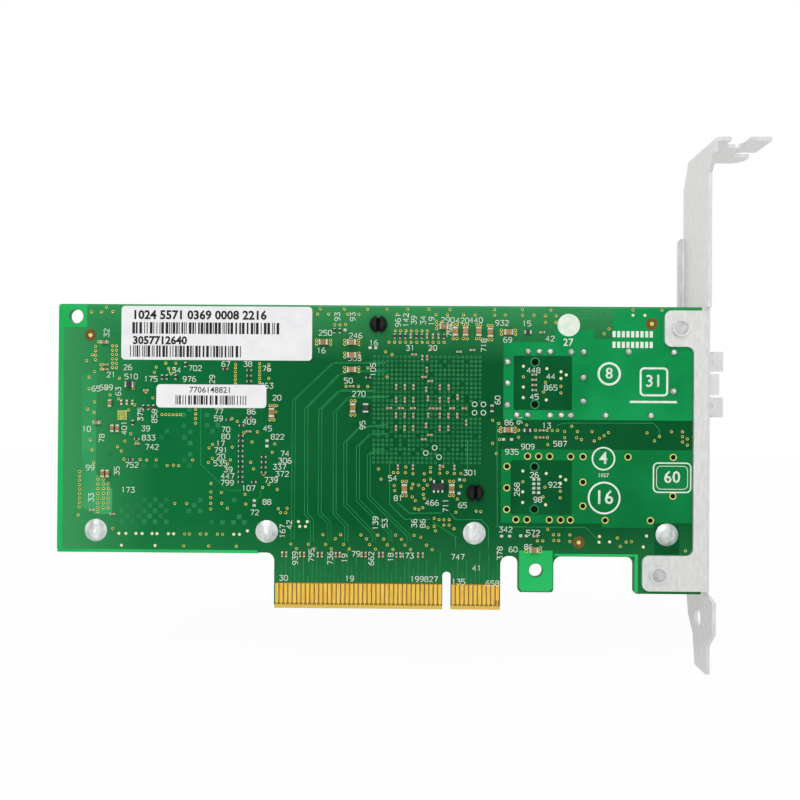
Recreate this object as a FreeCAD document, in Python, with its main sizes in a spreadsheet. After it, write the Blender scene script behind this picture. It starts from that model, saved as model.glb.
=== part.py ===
import FreeCAD, Part
import math
import os
import Sketcher
from FreeCAD import Placement, Rotation, Vector

# A single-port network card for an expansion slot.
# X runs along the card towards the bracket, Y from the solder face to the component face, Z up.
# The origin is the middle of the key slot, on the lower edge of the contacts and half way through the board.

doc = FreeCAD.newDocument("network_card")
sheet = doc.addObject("Spreadsheet::Sheet", "Sizes")

SIZES = [
    # board
    ("board_thick", 1.57, "thickness of the laminate"),
    ("board_left", 88.75, "key slot to the free end"),
    ("board_right", 57.4, "key slot to the bracket end"),
    ("board_top", 68.9, "contact edge to the top edge"),
    ("left_foot", 12.6, "contact edge to the lower edge at the free end"),
    ("right_foot", 4.0, "contact edge to the lower edge at the bracket end"),
    ("finger_left", 39.15, "key slot to the left end of the contact edge"),
    ("finger_right", 12.15, "key slot to the right end of the contact edge"),
    ("key_wide", 1.9, "width of the key slot"),
    ("key_rise", 8.6, "height of the key slot"),
    ("hook_left", 16.15, "key slot to the near side of the hook"),
    ("hook_wide", 8.0, "width of the hook"),
    ("hook_foot", 4.15, "contact edge to the bottom of the hook"),
    ("notch_rise", 12.3, "contact edge to the top of both notches beside the hook"),
    ("notch_right", 42.3, "key slot to the right side of the wide notch"),
    ("notch_round", 1.8, "corner radius at the top of the notches"),
    ("board_round", 0.8, "corner radius of the board's outer corners"),
    ("bevel_rise", 1.3, "height of the bevel on the contact edge"),
    ("bevel_deep", 0.42, "depth of the bevel on each face"),
    ("corner_hole_x", 84.8, "key slot to the corner hole"),
    ("corner_hole_z", 66.1, "height of the corner hole"),
    ("corner_hole_bore", 3.26, "bore of the corner hole"),
    ("hook_hole_z", 9.1, "height of the hole in the hook"),
    ("hook_hole_bore", 3.06, "bore of the hole in the hook"),
    ("mound_bore", 3.2, "bore of the four solder-filled mounting holes"),
    ("mound_wide", 5.1, "width of a solder mound"),
    ("mound_high", 0.9, "height of a solder mound"),
    ("mound_z", 17.4, "height of the row of solder mounds"),
    # contacts
    ("contact_pitch", 1.0, "pitch of the edge contacts"),
    ("contact_wide", 0.7, "width of an edge contact"),
    ("contact_thick", 0.04, "thickness of an edge contact"),
    ("contact_foot", 1.35, "lower edge to the contacts"),
    ("contact_long", 4.35, "length of an edge contact"),
    ("presence_short", 0.9, "how much shorter a presence contact is"),
    ("first_contact", 1.5, "key slot to the first contact on each side"),
    # bracket
    ("gauge", 0.86, "thickness of the bracket's sheet"),
    ("bend_inner", 0.35, "inner radius of the bracket's bends"),
    ("plate_face", 59.3, "key slot to the outer face of the plate"),
    ("plate_deep", 18.15, "depth of the plate across the slot"),
    ("flange_foot", 4.77, "bottom of the flange on the board"),
    ("crown_gap", 0.83, "board's top edge down to the top of the flange"),
    ("flange_edge", 3.9, "plate's outer face to the free edge of the flange"),
    ("upper_ear_reach", 10.5, "plate's outer face to the end of the upper ear"),
    ("upper_ear_high", 8.17, "height of the upper ear"),
    ("lower_ear_reach", 15.3, "plate's outer face to the end of the lower ear"),
    ("lower_ear_high", 8.0, "height of the lower ear"),
    ("ear_round", 1.6, "corner radius of the ears"),
    ("relief_gap", 0.9, "height of the bend reliefs above and below the flange"),
    ("shoulder_z", 99.4, "height where the plate starts to shift for the tab"),
    ("shoulder_high", 3.6, "height of the shifted edges"),
    ("tab_shift", 3.45, "how far the tab stands in front of the plate's near edge"),
    ("tab_wide", 18.5, "width of the tab across the slot"),
    ("tab_top", 106.3, "contact edge to the top of the tab"),
    ("tab_reach", 12.0, "plate's outer face to the end of the tab"),
    ("tab_round", 3.0, "radius of the tab's far corner"),
    ("slot_start", 3.0, "plate's outer face to the screw slot"),
    ("slot_wide", 4.4, "width of the screw slot"),
    ("slot_deep", 5.6, "depth of the screw slot"),
    ("index_wide", 4.0, "width of the notch in the end of the tab"),
    ("index_deep", 4.4, "depth of the notch in the end of the tab"),
    ("index_y", 6.2, "place of the notch in the end of the tab"),
    ("tail_foot", 13.9, "contact edge down to the tip of the tail"),
    ("tail_hole_bore", 4.3, "bore of the hole in the tail"),
    ("tail_hole_y", 4.8, "place of the hole in the tail"),
    ("tail_hole_z", 2.4, "contact edge down to the hole in the tail"),
    ("rim_deep", 2.4, "depth of the stiffening rim"),
    ("rim_round", 1.0, "corner radius of the stiffening rim"),
    ("rim_crown", 87.5, "top of the stiffening rim"),
    ("rim_foot", 6.2, "bottom of the stiffening rim"),
    ("collar_high", 0.85, "height of the drawn screw collars"),
    ("collar_wall", 0.45, "wall of the drawn screw collars"),
    ("screw_size", 2.9, "diameter of the bracket screws"),
    ("screw_gap", 0.05, "clearance round a bracket screw in its collar"),
    ("screw_head_wide", 5.4, "diameter of a screw head"),
    ("screw_head_high", 1.7, "height of a screw head"),
    ("screw_hole", 3.3, "bore of the screw holes in the board"),
    ("upper_screw_in", 7.0, "plate's outer face to the upper screw"),
    ("upper_screw_drop", 3.97, "top of the flange down to the upper screw"),
    ("lower_screw_in", 11.8, "plate's outer face to the lower screw"),
    ("lower_screw_rise", 3.73, "bottom of the flange up to the lower screw"),
    # cage and its footprints
    ("port_level", 51.48, "height of the port's middle"),
    ("port_spacing", 23.74, "distance down to the unused footprint"),
    ("leg_row", 7.175, "port's middle to a row of cage legs"),
    ("leg_hole", 1.05, "bore of the leg holes"),
    ("leg_wide", 0.56, "width of a cage leg"),
    ("joint_wide", 1.8, "width of a leg's solder joint"),
    ("joint_high", 0.85, "height of a leg's solder joint"),
    ("peg_row", 4.8, "port's middle to a peg hole"),
    ("peg_x", 19.75, "key slot to the peg holes"),
    ("peg_hole", 1.6, "bore of the peg holes"),
    ("cage_wall", 0.3, "thickness of the cage's sheet"),
    ("cage_rear", 13.35, "key slot to the cage's rear face"),
    ("cage_front", 62.3, "key slot to the cage's front edge"),
    ("cage_high", 9.8, "height of the cage above the board"),
    ("tongue_wide", 4.9, "width of the latch tongue"),
    ("tongue_slit", 0.5, "width of the slits beside the latch tongue"),
    ("tongue_long", 10.0, "length of the latch tongue"),
    ("vent_bore", 2.0, "bore of the cage's vent holes"),
    ("vent_pitch", 5.4, "pitch of the cage's vent holes"),
    ("vent_start", 14.0, "cage's rear face to the first vent holes"),
    ("collar_front", 62.7, "key slot to the front of the spring collar"),
    ("collar_long", 2.3, "length of the spring collar's band"),
    ("spring_sheet", 0.15, "thickness of the spring collar"),
    ("spring_reach", 5.8, "length of a spring finger"),
    ("spring_rise", 0.55, "how far a spring finger bows out"),
    ("spring_wide", 1.5, "width of a spring finger"),
    ("spring_pitch", 2.4, "pitch of the spring fingers"),
    ("spring_clear", 0.2, "gap between the board's edge and the fingers under the cage"),
    ("port_window_gap", 0.66, "gap between the cage and the bracket's window"),
    # transceiver socket
    ("socket_front", 25.4, "key slot to the socket's front face"),
    ("socket_long", 9.4, "length of the socket"),
    ("socket_wide", 11.9, "width of the socket"),
    ("socket_high", 6.2, "height of the socket"),
    ("socket_slot_low", 2.5, "board to the bottom of the socket's slot"),
    ("socket_slot_high", 2.2, "height of the socket's slot"),
    ("socket_slot_wide", 9.4, "width of the socket's slot"),
    ("socket_slot_deep", 7.6, "depth of the socket's slot"),
    ("pin_pitch", 0.8, "pitch of the socket's contacts"),
    ("pin_wide", 0.34, "width of a socket contact"),
    ("pin_thick", 0.2, "thickness of a socket contact"),
    ("pin_foot", 1.2, "length of a socket contact's foot"),
    ("pin_clear", 0.08, "clearance of a contact in the housing"),
    # controller and heatsink
    ("chip_side", 25.0, "side of the controller package"),
    ("chip_high", 1.55, "thickness of the controller package"),
    ("lid_side", 19.0, "side of the controller's lid"),
    ("lid_high", 1.3, "thickness of the controller's lid"),
    ("lid_round", 0.8, "corner radius of the controller's lid"),
    ("pad_side", 17.5, "side of the thermal pad"),
    ("pad_thick", 0.25, "thickness of the thermal pad"),
    ("sink_x", 4.77, "key slot to the middle of controller and heatsink, towards the free end"),
    ("sink_z", 45.58, "height of the middle of controller and heatsink"),
    ("sink_long", 34.0, "length of the heatsink along the fins"),
    ("sink_wide", 31.0, "width of the heatsink across the fins"),
    ("sink_base", 2.4, "thickness of the heatsink's base"),
    ("sink_high", 13.2, "board to the tips of the fins"),
    ("fin_thick", 1.1, "thickness of a fin"),
    ("ear_wide", 8.0, "width of the heatsink's ears"),
    ("pin_offset_x", 11.07, "heatsink's middle to a push pin, along the fins"),
    ("pin_past_sink", 3.52, "heatsink's long edge out to a push pin"),
    ("push_hole", 3.2, "bore of the push pins' holes"),
    ("push_shank", 3.0, "diameter of a push pin's shank"),
    ("push_barb", 4.0, "diameter of a push pin's split end"),
    ("push_barb_long", 2.0, "length of a push pin's split end"),
    ("push_head", 6.2, "diameter of a push pin's head"),
    ("push_head_high", 1.4, "height of a push pin's head"),
    ("push_stand", 5.6, "height from the heatsink's base to the underside of the head"),
    ("spring_wire", 0.45, "wire of the push pins' springs"),
    ("spring_half_turns", 7, "half turns of the push pins' springs"),
    ("spring_seat", 0.02, "clearance at each end of the push pins' springs"),
    # labels
    ("label_thick", 0.1, "thickness of the labels"),
    ("label_left", 74.4, "key slot to the product label's left edge"),
    ("label_long", 43.5, "length of the product label"),
    ("label_foot", 56.25, "height of the product label's lower edge"),
    ("label_high", 12.25, "height of the product label"),
    ("serial_left", 66.3, "key slot to the serial label's left edge"),
    ("serial_long", 25.1, "length of the serial label"),
    ("serial_foot", 45.4, "height of the serial label's lower edge"),
    ("serial_high", 5.3, "height of the serial label"),
    ("label_round", 0.9, "corner radius of the labels"),
    # small parts
    ("lead_thick", 0.18, "thickness of a chip's leads"),
    ("lead_wide", 0.42, "width of a chip's leads"),
    ("lamp_level", 39.6, "height between the two status lamps"),
    ("lamp_pitch", 4.0, "distance between the status lamps"),
    ("lamp_size", 1.8, "diameter of a lamp's dome"),
    ("lamp_axis", 2.0, "board to the axis of a lamp"),
    ("lamp_window_gap", 0.2, "clearance round a lamp in the bracket"),
]


class Size:
    """A length with its number and the sheet expression that gives it."""

    def __init__(self, number, text):
        self.number = number
        self.text = text

    def __add__(self, other):
        return joined(self, "+", other)

    def __radd__(self, other):
        return joined(other, "+", self)

    def __sub__(self, other):
        return joined(self, "-", other)

    def __rsub__(self, other):
        return joined(other, "-", self)

    def __mul__(self, other):
        return joined(self, "*", other)

    def __rmul__(self, other):
        return joined(other, "*", self)

    def __truediv__(self, other):
        return joined(self, "/", other)

    def __neg__(self):
        return joined(0, "-", self)


def as_size(thing):
    """Take a plain number as a size."""
    if isinstance(thing, Size):
        return thing
    return Size(float(thing), repr(float(thing)))


def joined(left, sign, right):
    """Join two sizes by a sign, in number and in text."""
    left = as_size(left)
    right = as_size(right)
    text = f"({left.text} {sign} {right.text})"
    if sign == "+":
        return Size(left.number + right.number, text)
    if sign == "-":
        return Size(left.number - right.number, text)
    if sign == "*":
        return Size(left.number * right.number, text)
    return Size(left.number / right.number, text)


class Named:
    """The sheet's sizes, each under its own name."""


s = Named()
for row, (name, number, meaning) in enumerate(SIZES, start=1):
    sheet.set(f"A{row}", meaning)
    sheet.set(f"B{row}", str(number))
    sheet.setAlias(f"B{row}", name)
    setattr(s, name, Size(number, f"Sizes.{name}"))
doc.recompute()

# Places worked out from the driving sizes
SOLDER_FACE = -s.board_thick / 2
PART_FACE = s.board_thick / 2
HOOK_RIGHT = s.hook_left + s.hook_wide
FLANGE_FACE = SOLDER_FACE - s.gauge
FLANGE_CROWN = s.board_top - s.crown_gap
PLATE_BACK = s.plate_face - s.gauge
PLATE_FAR = FLANGE_FACE + s.plate_deep
TAB_NEAR = FLANGE_FACE - s.tab_shift
TAB_FAR = TAB_NEAR + s.tab_wide
CAGE_TOP = PART_FACE + s.cage_high
CAGE_HALF = s.leg_row + s.cage_wall / 2
MID_LEG = s.cage_wall / 2
PACKAGE_TOP = PART_FACE + s.chip_high
LID_TOP = PACKAGE_TOP + s.lid_high
SINK_SEAT = LID_TOP + s.pad_thick
SINK_BASE_TOP = SINK_SEAT + s.sink_base
SINK_TOP = PART_FACE + s.sink_high

# Leg places of one cage footprint: along the card, and across from the port's middle
UPPER_LEGS = [18.15, 20.65, 23.15, 27.9, 30.7, 40.85, 51.05]
LOWER_LEGS = [15.6, 18.1, 23.15, 25.7, 27.9, 35.75, 45.95]
REAR_LEGS = [4.85, 0.0, -4.9]
FLOOR_LEGS = [(30.7, 1.42), (30.7, -4.0), (51.0, -1.6)]
MOUND_PLACES = [-79.9, -40.9, 6.2, 49.7]
SCREW_PLACES = [
    (s.plate_face - s.upper_screw_in, FLANGE_CROWN - s.upper_screw_drop),
    (s.plate_face - s.lower_screw_in, s.flange_foot + s.lower_screw_rise),
]
PIN_OFFSET_Z = s.sink_wide / 2 + s.pin_past_sink
PUSH_PIN_PLACES = [
    (-s.sink_x - s.pin_offset_x, s.sink_z + PIN_OFFSET_Z),
    (-s.sink_x + s.pin_offset_x, s.sink_z - PIN_OFFSET_Z),
]

AXES = {"X": Vector(1, 0, 0), "Y": Vector(0, 1, 0), "Z": Vector(0, 0, 1)}
PLANES = {"X": "YZ_Plane", "Y": "XZ_Plane", "Z": "XY_Plane"}
TOUCH = 1e-4
subparts = []


def new_body(label):
    """Start a sub-part that is made of sketched features."""
    body = doc.addObject("PartDesign::Body", label)
    body.Label = label
    subparts.append(body)
    return body


def bind(thing, prop, size):
    """Bind a property to the sheet."""
    thing.setExpression(prop, as_size(size).text)


def sketch_at(body, axis, place, loops=(), circles=()):
    """Draw closed outlines and circles on the plane across an axis at a place on it.

    Across X an outline is given in (Y, Z), across Y in (X, Z) and across Z in (X, Y).
    """
    sketch = body.newObject("Sketcher::SketchObject", f"{body.Name}_sketch")
    plane = next(f for f in body.Origin.OriginFeatures if f.Role == PLANES[axis])
    sketch.AttachmentSupport = (plane, [""])
    sketch.MapMode = "FlatFace"
    offset = -as_size(place) if axis == "Y" else as_size(place)
    bind(sketch, "AttachmentOffset.Base.z", offset)
    joins = []
    rules = []
    for loop in loops:
        corners = [(as_size(x), as_size(y)) for x, y in loop]
        points = [Vector(x.number, y.number, 0) for x, y in corners]
        lines = [Part.LineSegment(a, b) for a, b in zip(points, points[1:] + points[:1])]
        first = sketch.GeometryCount
        sketch.addGeometry(lines, False)
        count = len(lines)
        for index, (x, y) in enumerate(corners):
            before = first + (index - 1) % count
            joins.append(Sketcher.Constraint("Coincident", before, 2, first + index, 1))
            rules.append(("DistanceX", first + index, 1, x))
            rules.append(("DistanceY", first + index, 1, y))
    for x, y, radius in circles:
        x, y, radius = as_size(x), as_size(y), as_size(radius)
        index = sketch.GeometryCount
        sketch.addGeometry(Part.Circle(Vector(x.number, y.number, 0), Vector(0, 0, 1), radius.number), False)
        rules.append(("DistanceX", index, 3, x))
        rules.append(("DistanceY", index, 3, y))
        rules.append(("Radius", index, 0, radius))
    drivers = []
    for kind, index, point, size in rules:
        if kind == "Radius":
            drivers.append(Sketcher.Constraint(kind, index, size.number))
        else:
            drivers.append(Sketcher.Constraint(kind, -1, 1, index, point, size.number))
    sketch.addConstraint(joins + drivers)
    for number, (kind, index, point, size) in enumerate(rules, start=len(joins)):
        bind(sketch, f"Constraints[{number}]", size)
    return sketch


def pad(body, axis, place, length, loops=(), circles=()):
    """Raise outlines from a place along the positive axis by a length."""
    feature = body.newObject("PartDesign::Pad", f"{body.Name}_pad")
    feature.Profile = sketch_at(body, axis, place, loops, circles)
    bind(feature, "Length", length)
    feature.Reversed = axis == "Y"
    doc.recompute([body])
    return feature


def pocket(body, axis, place, length, loops=(), circles=()):
    """Cut outlines from a place along the positive axis by a length."""
    before = body.Shape.Volume
    feature = body.newObject("PartDesign::Pocket", f"{body.Name}_pocket")
    feature.Profile = sketch_at(body, axis, place, loops, circles)
    bind(feature, "Length", length)
    feature.Reversed = axis != "Y"
    doc.recompute([body])
    if body.Shape.Volume >= before - TOUCH:
        raise RuntimeError(f"a pocket of {body.Label} cuts nothing")
    return feature


def edges_through(shape, axis, spots):
    """Name the straight edges along an axis that pass through the spots."""
    names = []
    for number, edge in enumerate(shape.Edges, start=1):
        if len(edge.Vertexes) != 2:
            continue
        span = edge.Vertexes[1].Point - edge.Vertexes[0].Point
        if span.Length < TOUCH or span.cross(AXES[axis]).Length > TOUCH * span.Length:
            continue
        for spot in spots:
            point = Vector(*[as_size(number).number for number in spot])
            if Part.Vertex(point).distToShape(edge)[0] < TOUCH:
                names.append(f"Edge{number}")
                break
    return names


def round_edges(body, axis, radius, spots):
    """Round the edges along an axis that pass through the spots."""
    names = edges_through(body.Tip.Shape, axis, spots)
    if len(names) != len(spots):
        raise RuntimeError(f"{body.Label}: {len(names)} edges found for {len(spots)} corners")
    return round_named(body, radius, names)


def round_named(body, radius, names):
    """Round the named edges of a body."""
    tip = body.Tip
    feature = body.newObject("PartDesign::Fillet", f"{body.Name}_round")
    feature.Base = (tip, names)
    bind(feature, "Radius", radius)
    doc.recompute([body])
    if feature.Shape.isNull():
        raise RuntimeError(f"{body.Label}: the edges {names} can't be rounded")
    return feature


def rectangle(x, y, wide, high):
    """An outline from its lower left corner."""
    return [(x, y), (x + wide, y), (x + wide, y + high), (x, y + high)]


def repeated(body, feature, span, count, word="N_Axis"):
    """Repeat a feature evenly over a span, along an axis of its own sketch."""
    row = body.newObject("PartDesign::LinearPattern", f"{body.Name}_row")
    row.Originals = [feature]
    row.Direction = (feature.Profile[0], [word])
    bind(row, "Length", span)
    row.Occurrences = count
    body.Tip = row
    doc.recompute([body])
    return row


def revolved(body, outline):
    """Turn an outline of (radius, height) about the upright axis through the origin, with height along Y."""
    sketch = sketch_at(body, "Z", 0, [outline])
    feature = body.newObject("PartDesign::Revolution", f"{body.Name}_turn")
    feature.Profile = sketch
    feature.ReferenceAxis = (sketch, ["V_Axis"])
    feature.Angle = 360
    doc.recompute([body])
    return feature


def pattern_shape(name):
    """Start a shape that is only used through its copies."""
    body = doc.addObject("PartDesign::Body", name)
    body.Label = name
    return body


def copies(label, source, places):
    """Make a sub-part of copies of one shape at places in the card's frame."""
    links = []
    for x, y, z in places:
        link = doc.addObject("App::Link", f"{label}_copy")
        link.LinkedObject = source
        bind(link, "Placement.Base.x", x)
        bind(link, "Placement.Base.y", y)
        bind(link, "Placement.Base.z", z)
        links.append(link)
    group = doc.addObject("Part::Compound", label)
    group.Label = label
    group.Links = links
    subparts.append(group)
    doc.recompute()
    return group


def boxes(label, places):
    """Make a sub-part of boxes, each given by its lowest corner and its three sides."""
    parts = []
    for corner, sides in places:
        box = doc.addObject("Part::Box", f"{label}_box")
        for prop, size in zip(("Length", "Width", "Height"), sides):
            bind(box, prop, size)
        for prop, size in zip("xyz", corner):
            bind(box, f"Placement.Base.{prop}", size)
        parts.append(box)
    group = doc.addObject("Part::Compound", label)
    group.Label = label
    group.Links = parts
    subparts.append(group)
    doc.recompute()
    return group


# ---------------------------------------------------------------- board

def leg_rows():
    """The cage's legs in four rows, each leg as (x, distance from the port's middle)."""
    upper = [(x, s.leg_row) for x in UPPER_LEGS]
    lower = [(x, -s.leg_row) for x in LOWER_LEGS]
    rear = [(s.cage_rear + MID_LEG, z) for z in REAR_LEGS]
    return [upper, lower, rear, FLOOR_LEGS]


def circuit_board():
    """The laminate with its outline, key slot, hook and holes."""
    body = new_body("circuit_board")
    key = s.key_wide / 2
    outline = [
        (-s.board_left, s.left_foot),
        (-s.finger_left, s.left_foot),
        (-s.finger_left, 0),
        (-key, 0),
        (-key, s.key_rise),
        (key, s.key_rise),
        (key, 0),
        (s.finger_right, 0),
        (s.finger_right, s.notch_rise),
        (s.hook_left, s.notch_rise),
        (s.hook_left, s.hook_foot),
        (HOOK_RIGHT, s.hook_foot),
        (HOOK_RIGHT, s.notch_rise),
        (s.notch_right, s.notch_rise),
        (s.notch_right, s.right_foot),
        (s.board_right, s.right_foot),
        (s.board_right, s.board_top),
        (-s.board_left, s.board_top),
    ]
    pad(body, "Y", SOLDER_FACE, s.board_thick, [outline])

    bevel = []
    for side in (-1, 1):
        face = side * s.board_thick / 2
        bevel.append([
            (face + side, -1),
            (face - side * s.bevel_deep, -1),
            (face - side * s.bevel_deep, 0),
            (face, s.bevel_rise),
            (face + side, s.bevel_rise),
        ])
    contact_edge = s.finger_left + s.finger_right + 2
    pocket(body, "X", -s.finger_left - 1, contact_edge, bevel)

    slot_tops = [(s.finger_right, 0, s.notch_rise), (s.hook_left, 0, s.notch_rise)]
    notch_tops = [(HOOK_RIGHT, 0, s.notch_rise), (s.notch_right, 0, s.notch_rise)]
    round_edges(body, "Y", s.notch_round, slot_tops + notch_tops + [(-s.finger_left, 0, s.left_foot)])
    round_edges(body, "Y", key * 0.95, [(-key, 0, s.key_rise), (key, 0, s.key_rise)])
    outer = [
        (-s.board_left, 0, s.left_foot),
        (-s.board_left, 0, s.board_top),
        (s.notch_right, 0, s.right_foot),
        (s.hook_left, 0, s.hook_foot),
        (HOOK_RIGHT, 0, s.hook_foot),
    ]
    round_edges(body, "Y", s.board_round, outer)

    holes = [
        (-s.corner_hole_x, s.corner_hole_z, s.corner_hole_bore / 2),
        (s.hook_left + s.hook_wide / 2, s.hook_hole_z, s.hook_hole_bore / 2),
    ]
    holes += [(x, z, s.screw_hole / 2) for x, z in SCREW_PLACES]
    holes += [(x, z, s.push_hole / 2) for x, z in PUSH_PIN_PLACES]
    holes += [(x, s.mound_z, s.mound_bore / 2) for x in MOUND_PLACES]
    pocket(body, "Y", SOLDER_FACE, s.board_thick, (), holes)
    for level in (s.port_level, s.port_level - s.port_spacing):
        holes = [(s.peg_x, level + side * s.peg_row, s.peg_hole / 2) for side in (-1, 1)]
        holes += [(x, level + z, s.leg_hole / 2) for row in leg_rows() for x, z in row]
        pocket(body, "Y", SOLDER_FACE, s.board_thick, (), holes)


def edge_contacts():
    """Gold contacts on both faces, eleven right of the key slot and thirty-eight left of it."""
    places = []
    right = [s.first_contact + s.contact_pitch * step for step in range(11)]
    left = [-s.first_contact - s.contact_pitch * step for step in range(38)]
    presence = {SOLDER_FACE: [right[10]], PART_FACE: [left[5], left[19], left[36]]}
    for face, short_ones in presence.items():
        start = face - s.contact_thick if face is SOLDER_FACE else face
        for x in right + left:
            cut = s.presence_short if x in short_ones else as_size(0)
            corner = (x - s.contact_wide / 2, start, s.contact_foot + cut)
            places.append((corner, (s.contact_wide, s.contact_thick, s.contact_long - cut)))
    boxes("edge_contacts", places)


def solder_mounds():
    """Four mounting holes filled with solder, domed on the solder face and flatter on the other."""
    mound = pattern_shape("mound_shape")
    reach = s.mound_wide / 2
    shank = s.mound_bore / 2
    low = SOLDER_FACE - s.mound_high
    high = PART_FACE + s.mound_high / 2
    revolved(mound, [
        (0, low),
        (reach * 0.6, low + s.mound_high * 0.2),
        (reach, SOLDER_FACE),
        (shank, SOLDER_FACE),
        (shank, PART_FACE),
        (reach * 0.9, PART_FACE),
        (0, high),
    ])
    copies("solder_mounds", mound, [(x, 0, s.mound_z) for x in MOUND_PLACES])


# ---------------------------------------------------------------- bracket

def bracket():
    """One folded sheet: plate, flange on the board, tab, tail and stiffening rim."""
    body = new_body("bracket")
    tab_under = s.tab_top - s.gauge
    shoulder_top = s.shoulder_z + s.shoulder_high
    tail_top = s.flange_foot - s.relief_gap
    tail_deep = s.tail_foot / 3.4
    plate = [
        (FLANGE_FACE, s.flange_foot - s.relief_gap),
        (TAB_NEAR, tail_top - s.relief_gap),
        (TAB_NEAR, -tail_deep),
        (TAB_NEAR + 3.8, -s.tail_foot * 0.54),
        (TAB_NEAR + 3.8, -s.tail_foot),
        (TAB_NEAR + 11.7, -s.tail_foot),
        (TAB_NEAR + 13.1, -s.tail_foot * 0.51),
        (TAB_NEAR + 16.7, -s.tail_foot * 0.22),
        (TAB_NEAR + 18.1, tail_top - s.relief_gap),
        (PLATE_FAR, s.rim_foot - s.relief_gap),
        (PLATE_FAR, s.shoulder_z),
        (TAB_FAR, shoulder_top + 1.3),
        (TAB_FAR, s.tab_top),
        (TAB_NEAR, s.tab_top),
        (TAB_NEAR, shoulder_top),
        (FLANGE_FACE, s.shoulder_z),
        (FLANGE_FACE, FLANGE_CROWN + s.relief_gap),
        (FLANGE_FACE + s.gauge + s.bend_inner, FLANGE_CROWN + s.relief_gap),
        (FLANGE_FACE + s.gauge + s.bend_inner, FLANGE_CROWN),
        (FLANGE_FACE, FLANGE_CROWN),
        (FLANGE_FACE, s.flange_foot),
        (FLANGE_FACE + s.gauge + s.bend_inner, s.flange_foot),
        (FLANGE_FACE + s.gauge + s.bend_inner, s.flange_foot - s.relief_gap),
    ]
    window_half = CAGE_HALF + s.port_window_gap
    window = rectangle(
        PART_FACE - s.port_window_gap,
        s.port_level - window_half,
        s.cage_high + 2 * s.port_window_gap,
        2 * window_half,
    )
    lamp_hole = s.lamp_size / 2 + s.lamp_window_gap
    holes = [(s.tail_hole_y, -s.tail_hole_z, s.tail_hole_bore / 2)]
    holes += [(PART_FACE + s.lamp_axis, s.lamp_level + side * s.lamp_pitch / 2, lamp_hole) for side in (-1, 1)]
    pad(body, "X", PLATE_BACK, s.gauge, [plate, window], holes)

    flange_left = s.plate_face - s.flange_edge
    flange = [
        (flange_left, s.flange_foot + s.lower_ear_high),
        (s.plate_face - s.lower_ear_reach, s.flange_foot + s.lower_ear_high),
        (s.plate_face - s.lower_ear_reach, s.flange_foot),
        (s.plate_face, s.flange_foot),
        (s.plate_face, FLANGE_CROWN),
        (s.plate_face - s.upper_ear_reach, FLANGE_CROWN),
        (s.plate_face - s.upper_ear_reach, FLANGE_CROWN - s.upper_ear_high),
        (flange_left, FLANGE_CROWN - s.upper_ear_high),
    ]
    pad(body, "Y", FLANGE_FACE, s.gauge, [flange])

    tab_end = s.plate_face + s.tab_reach
    slot_left = s.plate_face + s.slot_start
    index_near = s.index_y - s.index_wide / 2
    tab = [
        (PLATE_BACK, TAB_NEAR),
        (slot_left, TAB_NEAR),
        (slot_left, TAB_NEAR + s.slot_deep),
        (slot_left + s.slot_wide, TAB_NEAR + s.slot_deep),
        (slot_left + s.slot_wide, TAB_NEAR),
        (tab_end, TAB_NEAR),
        (tab_end, index_near),
        (tab_end - s.index_deep, index_near),
        (tab_end - s.index_deep, index_near + s.index_wide),
        (tab_end, index_near + s.index_wide),
        (tab_end, TAB_FAR),
        (PLATE_BACK, TAB_FAR),
    ]
    pad(body, "Z", tab_under, s.gauge, [tab])

    rim = rectangle(s.plate_face - s.rim_deep, s.rim_foot, s.rim_deep, s.rim_crown - s.rim_foot)
    pad(body, "Y", PLATE_FAR - s.gauge, s.gauge, [rim])

    for x, z in SCREW_PLACES:
        outer = s.screw_size / 2 + s.screw_gap + s.collar_wall
        pad(body, "Y", FLANGE_FACE - s.collar_high, s.collar_high, (), [(x, z, outer)])
    bores = [(x, z, s.screw_size / 2 + s.screw_gap) for x, z in SCREW_PLACES]
    pocket(body, "Y", FLANGE_FACE - s.collar_high, s.collar_high + s.gauge, (), bores)

    outer_bend = s.gauge + s.bend_inner
    middle = s.port_level
    round_edges(body, "Z", outer_bend, [(s.plate_face, FLANGE_FACE, middle), (s.plate_face, PLATE_FAR, middle)])
    round_edges(body, "Z", s.bend_inner, [
        (PLATE_BACK, FLANGE_FACE + s.gauge, middle),
        (PLATE_BACK, PLATE_FAR - s.gauge, middle),
    ])
    round_edges(body, "Y", outer_bend, [(PLATE_BACK, 0, s.tab_top)])
    round_edges(body, "Y", s.bend_inner, [(s.plate_face, 0, tab_under)])
    upper_ear_left = s.plate_face - s.upper_ear_reach
    lower_ear_left = s.plate_face - s.lower_ear_reach
    on_flange = FLANGE_FACE + s.gauge / 2
    round_edges(body, "Y", s.ear_round, [
        (upper_ear_left, on_flange, FLANGE_CROWN),
        (upper_ear_left, on_flange, FLANGE_CROWN - s.upper_ear_high),
        (flange_left, on_flange, FLANGE_CROWN - s.upper_ear_high),
        (flange_left, on_flange, s.flange_foot + s.lower_ear_high),
        (lower_ear_left, on_flange, s.flange_foot + s.lower_ear_high),
        (lower_ear_left, on_flange, s.flange_foot),
    ])
    round_edges(body, "Y", s.rim_round, [
        (s.plate_face - s.rim_deep, PLATE_FAR - s.gauge / 2, s.rim_crown),
        (s.plate_face - s.rim_deep, PLATE_FAR - s.gauge / 2, s.rim_foot),
    ])
    on_tab = s.tab_top - s.gauge / 2
    round_edges(body, "Z", s.tab_round, [(tab_end, TAB_FAR, on_tab)])
    round_edges(body, "Z", s.index_wide * 0.45, [
        (tab_end - s.index_deep, index_near, on_tab),
        (tab_end - s.index_deep, index_near + s.index_wide, on_tab),
        (slot_left + s.slot_wide, TAB_NEAR + s.slot_deep, on_tab),
        (slot_left, TAB_NEAR + s.slot_deep, on_tab),
    ])


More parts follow.
